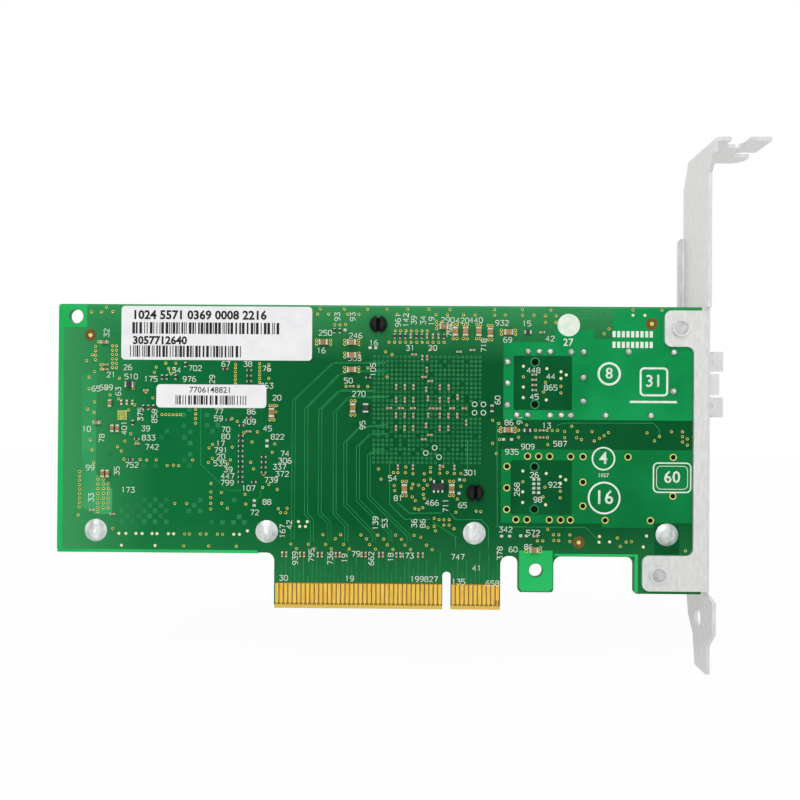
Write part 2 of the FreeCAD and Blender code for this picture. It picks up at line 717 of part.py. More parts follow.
def bracket_screws():
    """Two screws that pass the board from the component face and turn into the bracket's collars."""
    shape = pattern_shape("screw_shape")
    shank = s.screw_size / 2
    head = s.screw_head_wide / 2
    tip = FLANGE_FACE - s.collar_high * 0.9
    crown = PART_FACE + s.screw_head_high
    revolved(shape, [
        (0, tip),
        (shank, tip),
        (shank, PART_FACE),
        (head, PART_FACE),
        (head, PART_FACE + s.screw_head_high * 0.45),
        (head * 0.55, crown),
        (0, crown),
    ])
    recess = s.screw_head_wide * 0.1
    arm = s.screw_head_wide * 0.3
    cross = [
        (-recess, -arm), (recess, -arm), (recess, -recess), (arm, -recess),
        (arm, recess), (recess, recess), (recess, arm), (-recess, arm),
        (-recess, recess), (-arm, recess), (-arm, -recess), (-recess, -recess),
    ]
    pocket(shape, "Y", crown - s.screw_head_high * 0.55, s.screw_head_high, [cross])
    copies("bracket_screws", shape, [(x, 0, z) for x, z in SCREW_PLACES])


# ---------------------------------------------------------------- cage

def transceiver_cage():
    """A folded sheet cage with a latch tongue under its mouth, vent holes in its roof and legs in the board."""
    body = new_body("transceiver_cage")
    wall = s.cage_wall
    low = s.port_level - CAGE_HALF
    outer = rectangle(PART_FACE, low, s.cage_high, 2 * CAGE_HALF)
    inner = rectangle(PART_FACE + wall, low + wall, s.cage_high - 2 * wall, 2 * (CAGE_HALF - wall))
    pad(body, "X", s.cage_rear, s.cage_front - s.cage_rear, [outer, inner])
    pad(body, "X", s.cage_rear, wall, [outer])

    socket_half = s.socket_wide / 2 + 2 * wall
    floor_end = s.socket_front + s.pin_foot + 4 * wall
    opening = rectangle(s.cage_rear + wall, s.port_level - socket_half,
                        floor_end - s.cage_rear - wall, 2 * socket_half)
    tongue = s.tongue_wide / 2
    slits = [
        rectangle(s.cage_front - s.tongue_long, s.port_level + edge, s.tongue_long + 1, s.tongue_slit)
        for edge in (tongue, -tongue - s.tongue_slit)
    ]
    latch_tip = s.cage_front - 2.2
    latch = [
        (latch_tip, s.port_level),
        (latch_tip - 2.6, s.port_level + 1.3),
        (latch_tip - 2.6, s.port_level - 1.3),
    ]
    tongue_end = rectangle(s.cage_front - 0.4, s.port_level - tongue - s.tongue_slit,
                           1, s.tongue_wide + 2 * s.tongue_slit)
    pocket(body, "Y", PART_FACE - wall, 2 * wall, [opening])
    pocket(body, "Y", PART_FACE - wall, 2 * wall, slits + [latch])
    pocket(body, "Y", PART_FACE - wall, 2 * wall, [tongue_end])
    vents = [
        (s.cage_rear + s.vent_start + s.vent_pitch * column, s.port_level + side * s.vent_pitch / 2, s.vent_bore / 2)
        for column in range(4) for side in (-1, 1)
    ]
    pocket(body, "Y", CAGE_TOP - 2 * wall, 3 * wall, (), vents)

    along_sides = [s.leg_wide, wall]
    across = [wall, s.leg_wide]
    for row, (long, wide) in zip(leg_rows(), [along_sides, along_sides, across, across]):
        legs = [rectangle(x - long / 2, s.port_level + z - wide / 2, long, wide) for x, z in row]
        pad(body, "Y", SOLDER_FACE, s.board_thick + wall, legs)


def cage_solder_joints():
    """A cone of solder round the end of each cage leg, with eight sides because it is so small."""
    shape = pattern_shape("solder_shape")
    reach = s.joint_wide / 2
    turns = [math.radians(45 * step + 22.5) for step in range(8)]
    ring = [(reach * math.cos(turn), reach * math.sin(turn)) for turn in turns]
    cone = pad(shape, "Y", SOLDER_FACE - s.joint_high, s.joint_high, [ring])
    cone.Reversed = False
    bind(cone.Profile[0], "AttachmentOffset.Base.z", -SOLDER_FACE)
    cone.TaperAngle = -30
    doc.recompute([shape])
    copies("cage_solder_joints", shape, [(x, 0, s.port_level + z) for row in leg_rows() for x, z in row])


def cage_spring_collar():
    """A band round the cage's mouth whose fingers bow out against the bracket's window."""
    body = new_body("cage_spring_collar")
    sheet_thick = s.spring_sheet
    low = s.port_level - CAGE_HALF
    band_start = s.collar_front - s.collar_long
    outer = rectangle(PART_FACE - sheet_thick, low - sheet_thick,
                      s.cage_high + 2 * sheet_thick, 2 * (CAGE_HALF + sheet_thick))
    inner = rectangle(PART_FACE, low, s.cage_high, 2 * CAGE_HALF)
    mouth = rectangle(PART_FACE + s.cage_wall, low + s.cage_wall,
                      s.cage_high - 2 * s.cage_wall, 2 * (CAGE_HALF - s.cage_wall))
    pad(body, "X", band_start, s.collar_long, [outer, inner])
    pad(body, "X", s.cage_front, s.collar_front - s.cage_front, [outer, mouth])
    gap = s.tongue_wide + 2 * s.tongue_slit
    pocket(body, "Y", PART_FACE - 2 * sheet_thick, s.cage_wall + 2 * sheet_thick,
           [rectangle(band_start - 1, s.port_level - gap / 2, s.collar_long + 2, gap)])

    under_reach = band_start - s.board_right - s.spring_clear

    def bowed(face, out, reach=s.spring_reach, rise=s.spring_rise):
        """A finger's side view, bowed away from a face of the cage."""
        crest = band_start - reach * 0.4
        tail = band_start - reach
        near = face + out * (rise + sheet_thick)
        return [
            (band_start, face),
            (band_start, face + out * sheet_thick),
            (crest, near),
            (tail, face + out * sheet_thick),
            (tail, face),
            (crest, near - out * sheet_thick),
        ]

    half = s.spring_wide / 2
    roof = pad(body, "Z", s.port_level - 2 * s.spring_pitch - half, s.spring_wide, [bowed(CAGE_TOP, 1)])
    repeated(body, roof, 4 * s.spring_pitch, 5)
    under = bowed(PART_FACE, -1, under_reach, s.spring_rise / 2)
    for start in (s.port_level - 2.5 * s.spring_pitch, s.port_level + 1.5 * s.spring_pitch):
        first = pad(body, "Z", start - half, s.spring_wide, [under])
        repeated(body, first, s.spring_pitch, 2)
    for out in (-1, 1):
        face = s.port_level + out * CAGE_HALF
        start = PART_FACE + s.cage_high / 2 + s.spring_pitch - half
        last = pad(body, "Y", start, s.spring_wide, [bowed(face, out)])
        repeated(body, last, 2 * s.spring_pitch, 3)


# ---------------------------------------------------------------- transceiver socket

def contact_outlines():
    """Side views of a contact of the upper row and one of the lower row."""
    thick = s.pin_thick
    rear = s.socket_front - s.socket_long
    slot_floor = PART_FACE + s.socket_slot_low
    slot_roof = slot_floor + s.socket_slot_high
    beam_tip = s.socket_front - s.socket_slot_deep * 0.25
    upper = [
        (rear - thick - s.pin_foot, PART_FACE),
        (rear, PART_FACE),
        (rear, slot_roof - thick),
        (beam_tip - thick, slot_roof - 2.4 * thick),
        (beam_tip, slot_roof - 1.4 * thick),
        (beam_tip - thick, slot_roof - 1.4 * thick),
        (rear, slot_roof),
        (rear - thick, slot_roof),
        (rear - thick, PART_FACE + thick),
        (rear - thick - s.pin_foot, PART_FACE + thick),
    ]
    front = s.socket_front
    tip = front - s.socket_slot_deep * 0.8
    lower = [
        (front - thick, PART_FACE),
        (front + s.pin_foot, PART_FACE),
        (front + s.pin_foot, PART_FACE + thick),
        (front, PART_FACE + thick),
        (front, slot_floor + thick),
        (front - thick, slot_floor + thick),
        (tip, slot_floor + 2.4 * thick),
        (tip, slot_floor + 1.4 * thick),
        (front - thick, slot_floor),
    ]
    return upper, lower


def contact_starts():
    """Where each of a row's ten contacts starts across the card."""
    first = s.port_level - 4.5 * s.pin_pitch - s.pin_wide / 2
    return [first + s.pin_pitch * step for step in range(10)]


def socket_housing():
    """The socket's moulding: a slot for the module's edge, channels for its contacts and two pegs."""
    body = new_body("socket_housing")
    rear = s.socket_front - s.socket_long
    side = s.port_level - s.socket_wide / 2
    roof = PART_FACE + s.socket_high
    profile = [
        (rear, PART_FACE),
        (s.socket_front, PART_FACE),
        (s.socket_front, roof),
        (rear + s.socket_long * 0.2, roof),
        (rear, roof - s.socket_high * 0.15),
    ]
    pad(body, "Z", side, s.socket_wide, [profile])
    slot_side = s.port_level - s.socket_slot_wide / 2
    slot_floor = PART_FACE + s.socket_slot_low
    slot = rectangle(slot_floor, slot_side, s.socket_slot_high, s.socket_slot_wide)
    pocket(body, "X", s.socket_front - s.socket_slot_deep, s.socket_slot_deep + 1, [slot])

    clear = s.pin_clear
    thick = s.pin_thick
    slot_roof = slot_floor + s.socket_slot_high
    channel = s.pin_wide + 2 * clear
    gates = [
        rectangle(slot_roof - 2 * thick, start - clear, 2 * thick + clear, channel)
        for start in contact_starts()
    ]
    pocket(body, "X", rear - 1, s.socket_long - s.socket_slot_deep + 2, gates)
    grooves = [
        rectangle(s.socket_front - thick - clear, start - clear, thick + clear + 1, channel)
        for start in contact_starts()
    ]
    pocket(body, "Y", PART_FACE - 1, s.socket_slot_low + 1 + thick, grooves)
    pegs = [(s.peg_x, s.port_level + way * s.peg_row, s.peg_hole / 2 - clear) for way in (-1, 1)]
    pad(body, "Y", SOLDER_FACE + s.board_thick * 0.2, s.board_thick * 0.8 + thick, (), pegs)


def socket_contacts():
    """Ten sprung contacts above the slot and ten below it."""
    body = new_body("socket_contacts")
    for outline in contact_outlines():
        first = pad(body, "Z", contact_starts()[0], s.pin_wide, [outline])
        repeated(body, first, 9 * s.pin_pitch, 10)


# ---------------------------------------------------------------- controller and heatsink

def controller():
    """The controller's package, its lid and the thermal pad under the heatsink."""
    stack = [
        ("controller_package", s.chip_side, PART_FACE, s.chip_high),
        ("controller_lid", s.lid_side, PACKAGE_TOP, s.lid_high),
        ("thermal_pad", s.pad_side, LID_TOP, s.pad_thick),
    ]
    for label, side, start, thick in stack:
        body = new_body(label)
        left = -s.sink_x - side / 2
        low = s.sink_z - side / 2
        pad(body, "Y", start, thick, [rectangle(left, low, side, side)])
        if label == "controller_lid":
            middle = start + thick / 2
            corners = [(left + x, middle, low + z) for x in (0, side) for z in (0, side)]
            round_edges(body, "Y", s.lid_round, corners)


def heatsink():
    """An extruded heatsink with a diagonal ear for each push pin."""
    body = new_body("heatsink")
    left = -s.sink_x - s.sink_long / 2
    low = s.sink_z - s.sink_wide / 2
    high = low + s.sink_wide
    pad(body, "Y", SINK_SEAT, s.sink_base, [rectangle(left, low, s.sink_long, s.sink_wide)])
    on_base = SINK_SEAT + s.sink_base / 2
    round_edges(body, "Y", 1.0, [(left, on_base, z) for z in (low, high)]
                + [(left + s.sink_long, on_base, z) for z in (low, high)])
    for (x, z), way in zip(PUSH_PIN_PLACES, (1, -1)):
        root = high - 1 if way == 1 else low + 1
        end = z + way * s.ear_wide / 2
        corners = [(x - s.ear_wide / 2, root), (x + s.ear_wide / 2, root),
                   (x + s.ear_wide / 2, end), (x - s.ear_wide / 2, end)]
        pad(body, "Y", SINK_SEAT, s.sink_base, [corners])
        round_edges(body, "Y", s.ear_wide * 0.48, [
            (x - s.ear_wide / 2, on_base, end), (x + s.ear_wide / 2, on_base, end),
        ])
    bores = [(x, z, s.push_hole / 2) for x, z in PUSH_PIN_PLACES]
    pocket(body, "Y", SINK_SEAT, s.sink_base, (), bores)
    count = 11
    taper = s.fin_thick * 0.15
    tips = SINK_TOP - SINK_BASE_TOP
    fin = [
        (SINK_BASE_TOP - 0.2, low),
        (SINK_BASE_TOP + tips, low + taper),
        (SINK_BASE_TOP + tips, low + s.fin_thick - taper),
        (SINK_BASE_TOP - 0.2, low + s.fin_thick),
    ]
    first = pad(body, "X", left + 1, s.sink_long - 2, [fin])
    repeated(body, first, s.sink_wide - s.fin_thick, count, "V_Axis")


def push_pins():
    """Two plastic push pins whose split ends snap through the board."""
    shape = pattern_shape("push_pin_shape")
    shank = s.push_shank / 2
    barb = s.push_barb / 2
    head = s.push_head / 2
    under_head = SINK_BASE_TOP + s.push_stand
    tip = SOLDER_FACE - s.push_barb_long
    revolved(shape, [
        (0, tip),
        (barb * 0.62, tip),
        (barb, SOLDER_FACE - s.push_barb_long * 0.3),
        (shank, SOLDER_FACE),
        (shank, under_head),
        (head, under_head),
        (head, under_head + s.push_head_high),
        (0, under_head + s.push_head_high),
    ])
    slit = rectangle(-s.push_barb * 0.11, -s.push_barb, s.push_barb * 0.22, 2 * s.push_barb)
    pocket(shape, "Y", tip - 1, s.push_barb_long + s.board_thick * 0.8 + 1, [slit])
    copies("push_pins", shape, [(x, 0, z) for x, z in PUSH_PIN_PLACES])


def spring_coil():
    """One coil spring on the upright axis, wound from half turns of six-sided wire that tilt to and fro."""
    wire = s.spring_wire.number / 2
    reach = (s.push_shank.number + s.push_head.number) / 4
    count = int(s.spring_half_turns.number)
    climb = (s.push_stand.number - 2 * wire - 2 * s.spring_seat.number) / count
    tilt = math.atan(climb / 2 / reach)
    turns = [math.radians(60 * step) for step in range(7)]
    section = Part.makePolygon([
        Vector(reach + wire * math.sin(turn), 0, wire * math.cos(turn)) for turn in turns
    ])
    faces = [Part.Face(section)]
    for number in range(count):
        centre = Vector(0, 0, climb * (number + 0.5))
        lean = tilt if number % 2 == 0 else -tilt
        axis = Vector(math.sin(lean), 0, math.cos(lean))
        faces += section.revolve(centre, axis, 180).Faces
        section.rotate(centre, axis, 180)
    faces.append(Part.Face(section))
    skin = Part.makeShell(faces)
    skin.sewShape()
    return Part.Solid(skin)


def push_pin_springs():
    """The coil springs between the heatsink's ears and the push pins' heads."""
    coil = spring_coil()
    upright = Placement(Vector(0, 0, 0), Rotation(Vector(1, 0, 0), -90))
    foot = SINK_BASE_TOP + s.spring_wire / 2 + s.spring_seat
    springs = []
    for x, z in PUSH_PIN_PLACES:
        spring = coil.copy()
        spot = Vector(x.number, foot.number, z.number)
        spring.Placement = Placement(spot, Rotation()).multiply(upright)
        springs.append(spring)
    group = doc.addObject("Part::Feature", "push_pin_springs")
    group.Label = "push_pin_springs"
    group.Shape = Part.makeCompound(springs)
    subparts.append(group)


# ---------------------------------------------------------------- labels

def labels():
    """Two paper labels stuck to the solder face."""
    papers = [
        ("product_label", s.label_left, s.label_long, s.label_foot, s.label_high),
        ("serial_label", s.serial_left, s.serial_long, s.serial_foot, s.serial_high),
    ]
    for label, left, long, foot, high in papers:
        body = new_body(label)
        pad(body, "Y", SOLDER_FACE - s.label_thick, s.label_thick, [rectangle(-left, foot, long, high)])
        middle = SOLDER_FACE - s.label_thick / 2
        round_edges(body, "Y", s.label_round, [
            (-left, middle, foot), (-left + long, middle, foot),
            (-left, middle, foot + high), (-left + long, middle, foot + high),
        ])


# ---------------------------------------------------------------- small parts

# Length, width and height of each chip part's case
CASES = {
    "0402": (1.0, 0.5, 0.4),
    "0603": (1.6, 0.8, 0.7),
    "0805": (2.0, 1.25, 0.95),
    "1206": (3.2, 1.6, 1.3),
    "polymer": (7.3, 4.3, 2.8),
    "coil": (7.2, 7.2, 4.2),
}


def chip_boxes(face, rows):
    """Boxes of chip parts on a face, from rows of (case, upright, x, z, step along x, step along z, count)."""
    places = []
    for case, upright, x, z, step_x, step_z, count in rows:
        long, wide, high = CASES[case]
        if upright:
            long, wide = wide, long
        start = face - high if face is SOLDER_FACE else face
        for step in range(count):
            corner = (x + step * step_x - long / 2, start, z + step * step_z - wide / 2)
            places.append((corner, (long, high, wide)))
    return places


def solder_side_parts():
    """Ceramic capacitors and resistors on the solder face."""
    boxes("large_capacitors", chip_boxes(SOLDER_FACE, [
        ("0805", False, -28.3, 60.5, 6.4, 0, 2),
        ("0805", False, -21.85, 57.6, 0, -3.3, 2),
        ("0805", True, -39.9, 44.4, 18.4, 1.2, 2),
        ("0805", True, 1.6, 63.1, 2.3, 0, 2),
        ("0805", True, 6.9, 63.1, 2.6, -0.2, 2),
        ("0805", False, -1.0, 64.2, 0, 0, 1),
        ("0805", True, -9.7, 27.4, 10.7, 0.1, 2),
        ("0805", False, 13.65, 63.0, 0, -22.1, 2),
        ("0805", False, 19.6, 13.8, 0, 0, 1),
    ]))
    boxes("medium_capacitors", chip_boxes(SOLDER_FACE, [
        ("0603", False, -79.8, 41.9, 1.6, 18.3, 2),
        ("0603", True, -76.8, 46.3, 0, 0, 1),
        ("0603", True, -76.2, 40.6, 1.2, 0, 2),
        ("0603", True, -78.3, 30.3, 1.1, 0, 2),
        ("0402", False, -80.8, 22.0, 4.7, -0.9, 2),
        ("0402", True, -74.2, 46.5, 1.25, 0, 3),
    ]))
    boxes("small_capacitors", chip_boxes(SOLDER_FACE, [
        ("0402", True, -37.3, 12.25, 4.05, 0, 4),
        ("0402", True, -36.4, 12.25, 4.05, 0, 4),
        ("0402", True, -19.3, 12.35, 3.95, 0, 3),
        ("0402", True, -18.4, 12.35, 3.95, 0, 3),
        ("0402", True, -6.5, 12.35, 1.1, 0, 2),
        ("0402", True, -11.7, 50.4, 1.95, 0, 3),
        ("0402", True, -11.7, 47.5, 1.95, 0, 3),
        ("0402", True, -11.7, 44.0, 1.95, 0, 3),
        ("0402", True, -11.7, 41.1, 1.95, 0, 3),
        ("0402", True, -4.9, 49.9, 0.4, -2.0, 2),
        ("0402", True, -4.4, 44.0, -0.5, -2.3, 2),
        ("0402", True, -1.8, 50.4, 1.98, 0, 2),
        ("0402", True, -1.8, 47.5, 1.98, 0, 2),
        ("0402", True, -1.8, 44.0, 1.98, 0, 3),
        ("0402", True, -1.8, 41.1, 1.98, 0, 2),
        ("0402", True, 2.2, 48.2, 2.0, -5.8, 2),
        ("0402", False, -13.3, 45.6, 2.7, 0, 3),
        ("0402", False, -3.7, 45.6, 1.6, 0, 2),
        ("0402", False, 1.0, 45.65, 2.8, 0, 2),
        ("0402", False, -7.7, 57.8, 0, 0, 1),
        ("0402", True, -4.8, 54.4, 0, 0, 1),
        ("0402", True, -5.85, 57.1, 1.1, 0, 2),
        ("0402", False, -5.4, 52.7, 1.4, -0.9, 2),
        ("0402", False, -5.4, 38.6, 1.4, 1.0, 2),
        ("0402", False, -3.6, 59.0, 0, 0, 1),
        ("0402", False, 2.5, 58.5, 3.0, 0.4, 2),
        ("0402", True, -11.2, 32.25, 3.4, 0, 2),
        ("0402", True, -1.7, 32.25, 3.3, 0, 2),
        ("0402", True, -8.5, 62.0, 3.7, 0, 2),
        ("0402", True, -3.45, 62.0, 1.25, 0, 2),
        ("0402", False, 19.55, 53.4, 0, -1.17, 4),
        ("0402", False, -77.9, 55.1, 0, -1.1, 2),
        ("0402", False, -68.7, 49.3, 46.9, 1.2, 2),
        ("0402", False, -70.6, 37.1, 0, 0, 1),
        ("0402", False, -45.2, 40.1, 0, 0, 1),
        ("0402", False, 21.3, 63.0, 0, -22.2, 2),
        ("0402", False, 21.3, 39.2, -1.3, -22.35, 2),
    ]))
    boxes("large_resistors", chip_boxes(SOLDER_FACE, [
        ("0805", False, -72.3, 50.6, 0, 0, 1),
        ("0805", True, -18.6, 45.6, 0, 0, 1),
        ("0603", True, 10.0, 45.7, 0, 0, 1),
        ("0603", False, 18.0, 63.0, 0, -22.2, 2),
    ]))
    boxes("chip_resistors", chip_boxes(SOLDER_FACE, [
        ("0402", True, -69.2, 45.4, 1.15, 0, 3),
        ("0402", True, -59.7, 55.2, 0, 0, 1),
        ("0402", True, -65.0, 52.3, 1.1, 0, 2),
        ("0402", True, -61.9, 52.3, 0, 0, 1),
        ("0402", True, -71.6, 41.9, 0, 0, 1),
        ("0402", False, -50.6, 54.2, 0, 0, 1),
        ("0402", False, -45.15, 54.0, 0, -1.25, 3),
        ("0402", False, -70.7, 38.2, -1.3, -4.7, 2),
        ("0402", False, -49.8, 42.7, 0, 0, 1),
        ("0402", False, -45.1, 43.2, 0, 0, 1),
        ("0402", False, -46.8, 41.4, 0, 0, 1),
        ("0402", False, -46.95, 39.1, 0, -1.167, 10),
        ("0402", False, -41.7, 34.3, 0, -1.167, 4),
        ("0402", False, -43.9, 28.6, 0, 0, 1),
        ("0402", True, -12.1, 61.95, 1.2, 0, 3),
        ("0402", True, -7.2, 61.95, 1.25, 0, 2),
        ("0402", True, -0.95, 61.95, 0, 0, 1),
        ("0402", True, -25.8, 63.1, 1.2, 0, 2),
        ("0402", False, -18.1, 52.5, 0, 0, 1),
    ]))


# Body length, body width, height above the board, rows' span, leads in each row and their pitch
SMALL_OUTLINE = {
    "reset_chip": (2.9, 1.6, 1.1, 2.8, (3, 2), 0.95),
    "flash_chip": (5.3, 5.2, 1.8, 7.9, (4, 4), 1.27),
    "settings_chip": (4.9, 3.9, 1.6, 6.0, (4, 4), 1.27),
}
CHIP_PLACES = {
    "reset_chip": (-2.05, 27.95, -1),
    "flash_chip": (-34.0, 31.0, 1),
    "settings_chip": (-34.0, 55.0, 1),
}


def small_outline_chips():
    """Moulded chips with leads bent to the board along two sides."""
    leads = []
    for label, (long, wide, high, span, counts, pitch) in SMALL_OUTLINE.items():
        x, z, way = CHIP_PLACES[label]
        face = PART_FACE if way == 1 else SOLDER_FACE
        stand = 0.1
        slope = wide * 0.04
        waist = 0.5 * high
        levels = [stand, waist, high]
        half = wide / 2
        profile = [
            (face + way * levels[0], z - half + slope),
            (face + way * levels[1], z - half),
            (face + way * levels[2], z - half + slope),
            (face + way * levels[2], z + half - slope),
            (face + way * levels[1], z + half),
            (face + way * levels[0], z + half - slope),
        ]
        body = new_body(label)
        pad(body, "X", x - long / 2, long, [profile])
        for side, count in zip((-1, 1), counts):
            row = pitch * (counts[0] - 1)
            leads.append((x - row / 2, row, count, face, way, z, side, half, span / 2, waist))
    body = new_body("chip_leads")
    thick = s.lead_thick
    for x, row, count, face, way, z, side, half, reach, waist in leads:
        foot = (reach - half) * 0.45
        profile = [
            (face + way * (waist - thick / 2), z + side * half),
            (face + way * (waist - thick / 2), z + side * (reach - foot - thick)),
            (face, z + side * (reach - foot - thick * 0.6)),
            (face, z + side * reach),
            (face + way * thick, z + side * reach),
            (face + way * thick, z + side * (reach - foot + thick * 0.3)),
            (face + way * (waist + thick / 2), z + side * (reach - foot)),
            (face + way * (waist + thick / 2), z + side * half),
        ]
        first = pad(body, "X", x - s.lead_wide / 2, s.lead_wide, [profile])
        repeated(body, first, row, count)


def component_side_parts():
    """Power parts, clock crystal and chip parts on the component face."""
    boxes("power_inductors", chip_boxes(PART_FACE, [("coil", False, -76.0, 30.0, 0, 12.0, 3)]))
    boxes("bulk_capacitors", chip_boxes(PART_FACE, [
        ("polymer", True, -84.0, 30.0, 0, 12.0, 3),
        ("polymer", False, -58.0, 24.0, 0, 7.0, 2),
    ]))
    boxes("regulator_chips", [
        ((x - 2.5, PART_FACE, z - 2.5), (5.0, 0.9, 5.0))
        for x, z in ((-66.0, 30.0), (-66.0, 42.0), (-66.0, 54.0))
    ])
    boxes("clock_crystal", [((-31.5, PART_FACE, 41.4), (5.0, 1.1, 3.2))])
    boxes("front_capacitors", chip_boxes(PART_FACE, [
        ("1206", True, -70.6, 28.5, 0, 12.0, 3),
        ("0603", False, -61.0, 38.0, 0, 1.7, 5),
        ("0603", True, -54.0, 40.0, 1.7, 0, 5),
        ("0402", True, -24.6, 34.0, 0, 3.2, 6),
        ("0603", False, -38.0, 61.5, 3.4, 0, 4),
        ("0402", True, -34.5, 12.6, 2.1, 0, 12),
        ("0603", False, 20.0, 40.5, 4.5, 0, 3),
    ]))
    boxes("front_resistors", chip_boxes(PART_FACE, [
        ("0402", False, -53.5, 55.0, 0, -1.3, 8),
        ("0402", False, -48.0, 34.0, 0, -1.3, 6),
        ("0402", True, -44.5, 62.0, 1.3, 0, 4),
        ("0402", True, -27.5, 26.0, 1.3, 0, 4),
        ("0402", True, 36.0, 40.5, 1.4, 0, 6),
    ]))


def status_lamps():
    """Two right-angle lamps whose domes show through the bracket."""
    shape = pattern_shape("lamp_shape")
    radius = s.lamp_size / 2
    back = s.board_right - 3.4
    dome = s.plate_face + 0.3
    side = s.lamp_size / 2 + 0.5
    pad(shape, "X", back, s.board_right - 0.3 - back, [rectangle(PART_FACE, -side, s.lamp_axis + side, 2 * side)])
    pad(shape, "X", back + 1, dome - radius * 0.5 - back - 1, (), [(PART_FACE + s.lamp_axis, 0, radius)])
    lens = shape.Tip
    rim = [
        f"Edge{number}" for number, edge in enumerate(lens.Shape.Edges, start=1)
        if abs(edge.BoundBox.XMin - lens.Shape.BoundBox.XMax) < TOUCH
    ]
    dome = shape.newObject("PartDesign::Chamfer", "lamp_dome")
    dome.Base = (lens, rim)
    bind(dome, "Size", radius * 0.4)
    doc.recompute([shape])
    levels = [s.lamp_level - s.lamp_pitch / 2, s.lamp_level + s.lamp_pitch / 2]
    copies("status_lamps", shape, [(0, 0, level) for level in levels])


MAKERS = [
    circuit_board, edge_contacts, solder_mounds, bracket, bracket_screws, transceiver_cage,
    cage_solder_joints, cage_spring_collar, socket_housing, socket_contacts, controller, heatsink,
    push_pins, push_pin_springs, labels, solder_side_parts, small_outline_chips,
    component_side_parts, status_lamps,
]
for make in MAKERS:
    make()
doc.recompute()

for thing in doc.Objects:
    if "Invalid" in thing.State or "Error" in thing.State:
        raise RuntimeError(f"{thing.Label} failed: {thing.State}")
for part in subparts:
    if part.Shape.isNull() or not part.Shape.isValid():
        raise RuntimeError(f"{part.Label} has no valid shape")

os.makedirs("parts", exist_ok=True)
for part in subparts:
    part.Shape.exportStep(f"parts/{part.Label}.step")
    print(part.Label, len(part.Shape.Solids), round(part.Shape.Volume, 2))
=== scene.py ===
import math
import random

import bmesh
import bpy
from mathutils import Matrix, Vector

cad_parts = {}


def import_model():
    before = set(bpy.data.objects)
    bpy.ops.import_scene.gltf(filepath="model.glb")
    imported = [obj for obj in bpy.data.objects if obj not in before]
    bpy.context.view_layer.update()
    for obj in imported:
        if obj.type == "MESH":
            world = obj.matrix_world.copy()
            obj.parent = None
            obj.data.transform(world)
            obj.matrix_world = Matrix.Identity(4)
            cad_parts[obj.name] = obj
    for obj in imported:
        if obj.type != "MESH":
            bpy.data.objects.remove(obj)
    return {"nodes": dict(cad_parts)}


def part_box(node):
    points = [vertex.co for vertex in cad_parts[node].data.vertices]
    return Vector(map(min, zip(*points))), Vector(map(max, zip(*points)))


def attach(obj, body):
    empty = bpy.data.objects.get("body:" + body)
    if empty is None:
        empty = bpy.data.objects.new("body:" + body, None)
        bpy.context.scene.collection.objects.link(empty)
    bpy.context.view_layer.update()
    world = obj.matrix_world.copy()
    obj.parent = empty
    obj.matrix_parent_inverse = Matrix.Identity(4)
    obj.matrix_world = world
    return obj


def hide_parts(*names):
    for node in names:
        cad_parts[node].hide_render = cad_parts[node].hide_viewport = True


# The looks of a single-port network card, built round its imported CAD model.
# Places on the card are in millimetres in the card's frame: x towards the bracket, z up.
# A level is how far something stands proud of the board face that it lies on.

MM = 0.001
SOLDER_SIDE = -1
PART_SIDE = 1

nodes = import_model()["nodes"]
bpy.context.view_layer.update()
board_low, board_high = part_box("circuit_board")
FACE_Y = {SOLDER_SIDE: board_low.y / MM, PART_SIDE: board_high.y / MM}
BOARD_LEFT = board_low.x / MM
BOARD_TOP = board_high.z / MM


# ---------------------------------------------------------------- finishes

def colour(code):
    """A linear colour from an sRGB hex code."""
    channels = [int(code[i:i + 2], 16) / 255 for i in (1, 3, 5)]
    linear = [c / 12.92 if c <= 0.04045 else ((c + 0.055) / 1.055) ** 2.4 for c in channels]
    return (*linear, 1.0)


def add(tree, kind, inputs, **settings):
    """Add a shader node with its settings, and give its inputs their values or links."""
    node = tree.nodes.new("ShaderNode" + kind)
    for name, value in settings.items():
        setattr(node, name, value)
    for name, value in inputs.items():
        if isinstance(value, bpy.types.NodeSocket):
            tree.links.new(value, node.inputs[name])
        else:
            node.inputs[name].default_value = value
    return node


def coat(name, shine, metallic=0.0):
    """A new material with its tree, its shader, and the places on the object that its patterns read."""
    material = bpy.data.materials.new(name)
    material.use_nodes = True
    tree = material.node_tree
    shader = tree.nodes["Principled BSDF"]
    shader.inputs["Metallic"].default_value = metallic
    shader.inputs["Specular IOR Level"].default_value = shine
    return material, tree, shader, add(tree, "TexCoord", {}).outputs["Object"]


def cover(tree, shader, tone, gloss, skin):
    """Give a shader its colour, gloss and relief."""
    tree.links.new(tone.outputs[2], shader.inputs["Base Color"])
    tree.links.new(gloss.outputs["Result"], shader.inputs["Roughness"])
    tree.links.new(skin.outputs["Normal"], shader.inputs["Normal"])


def finish(name, dark, light, roughness, grain, metallic=0.0, shine=0.5, run=(1, 1, 1), relief=0.01):
    """A finish whose colour, gloss and relief drift over a grain of so many millimetres."""
    material, tree, shader, places = coat(name, shine, metallic)
    drawn = add(tree, "Mapping", {"Vector": places, "Scale": run})
    grit = add(tree, "TexNoise", {"Vector": drawn.outputs["Vector"], "Scale": 1 / (grain * MM),
                                  "Detail": 4.0})
    share = add(tree, "MapRange", {"Value": grit.outputs["Fac"], "From Min": 0.35, "From Max": 0.65})
    tone = add(tree, "Mix", {0: share.outputs["Result"], 6: colour(dark), 7: colour(light)},
               data_type="RGBA")
    gloss = add(tree, "MapRange", {"Value": grit.outputs["Fac"], "From Min": 0.3, "From Max": 0.7,
                                   "To Min": roughness - 0.07, "To Max": roughness + 0.08})
    skin = add(tree, "Bump", {"Height": grit.outputs["Fac"], "Strength": 0.4, "Distance": relief * MM})
    cover(tree, shader, tone, gloss, skin)
    return material


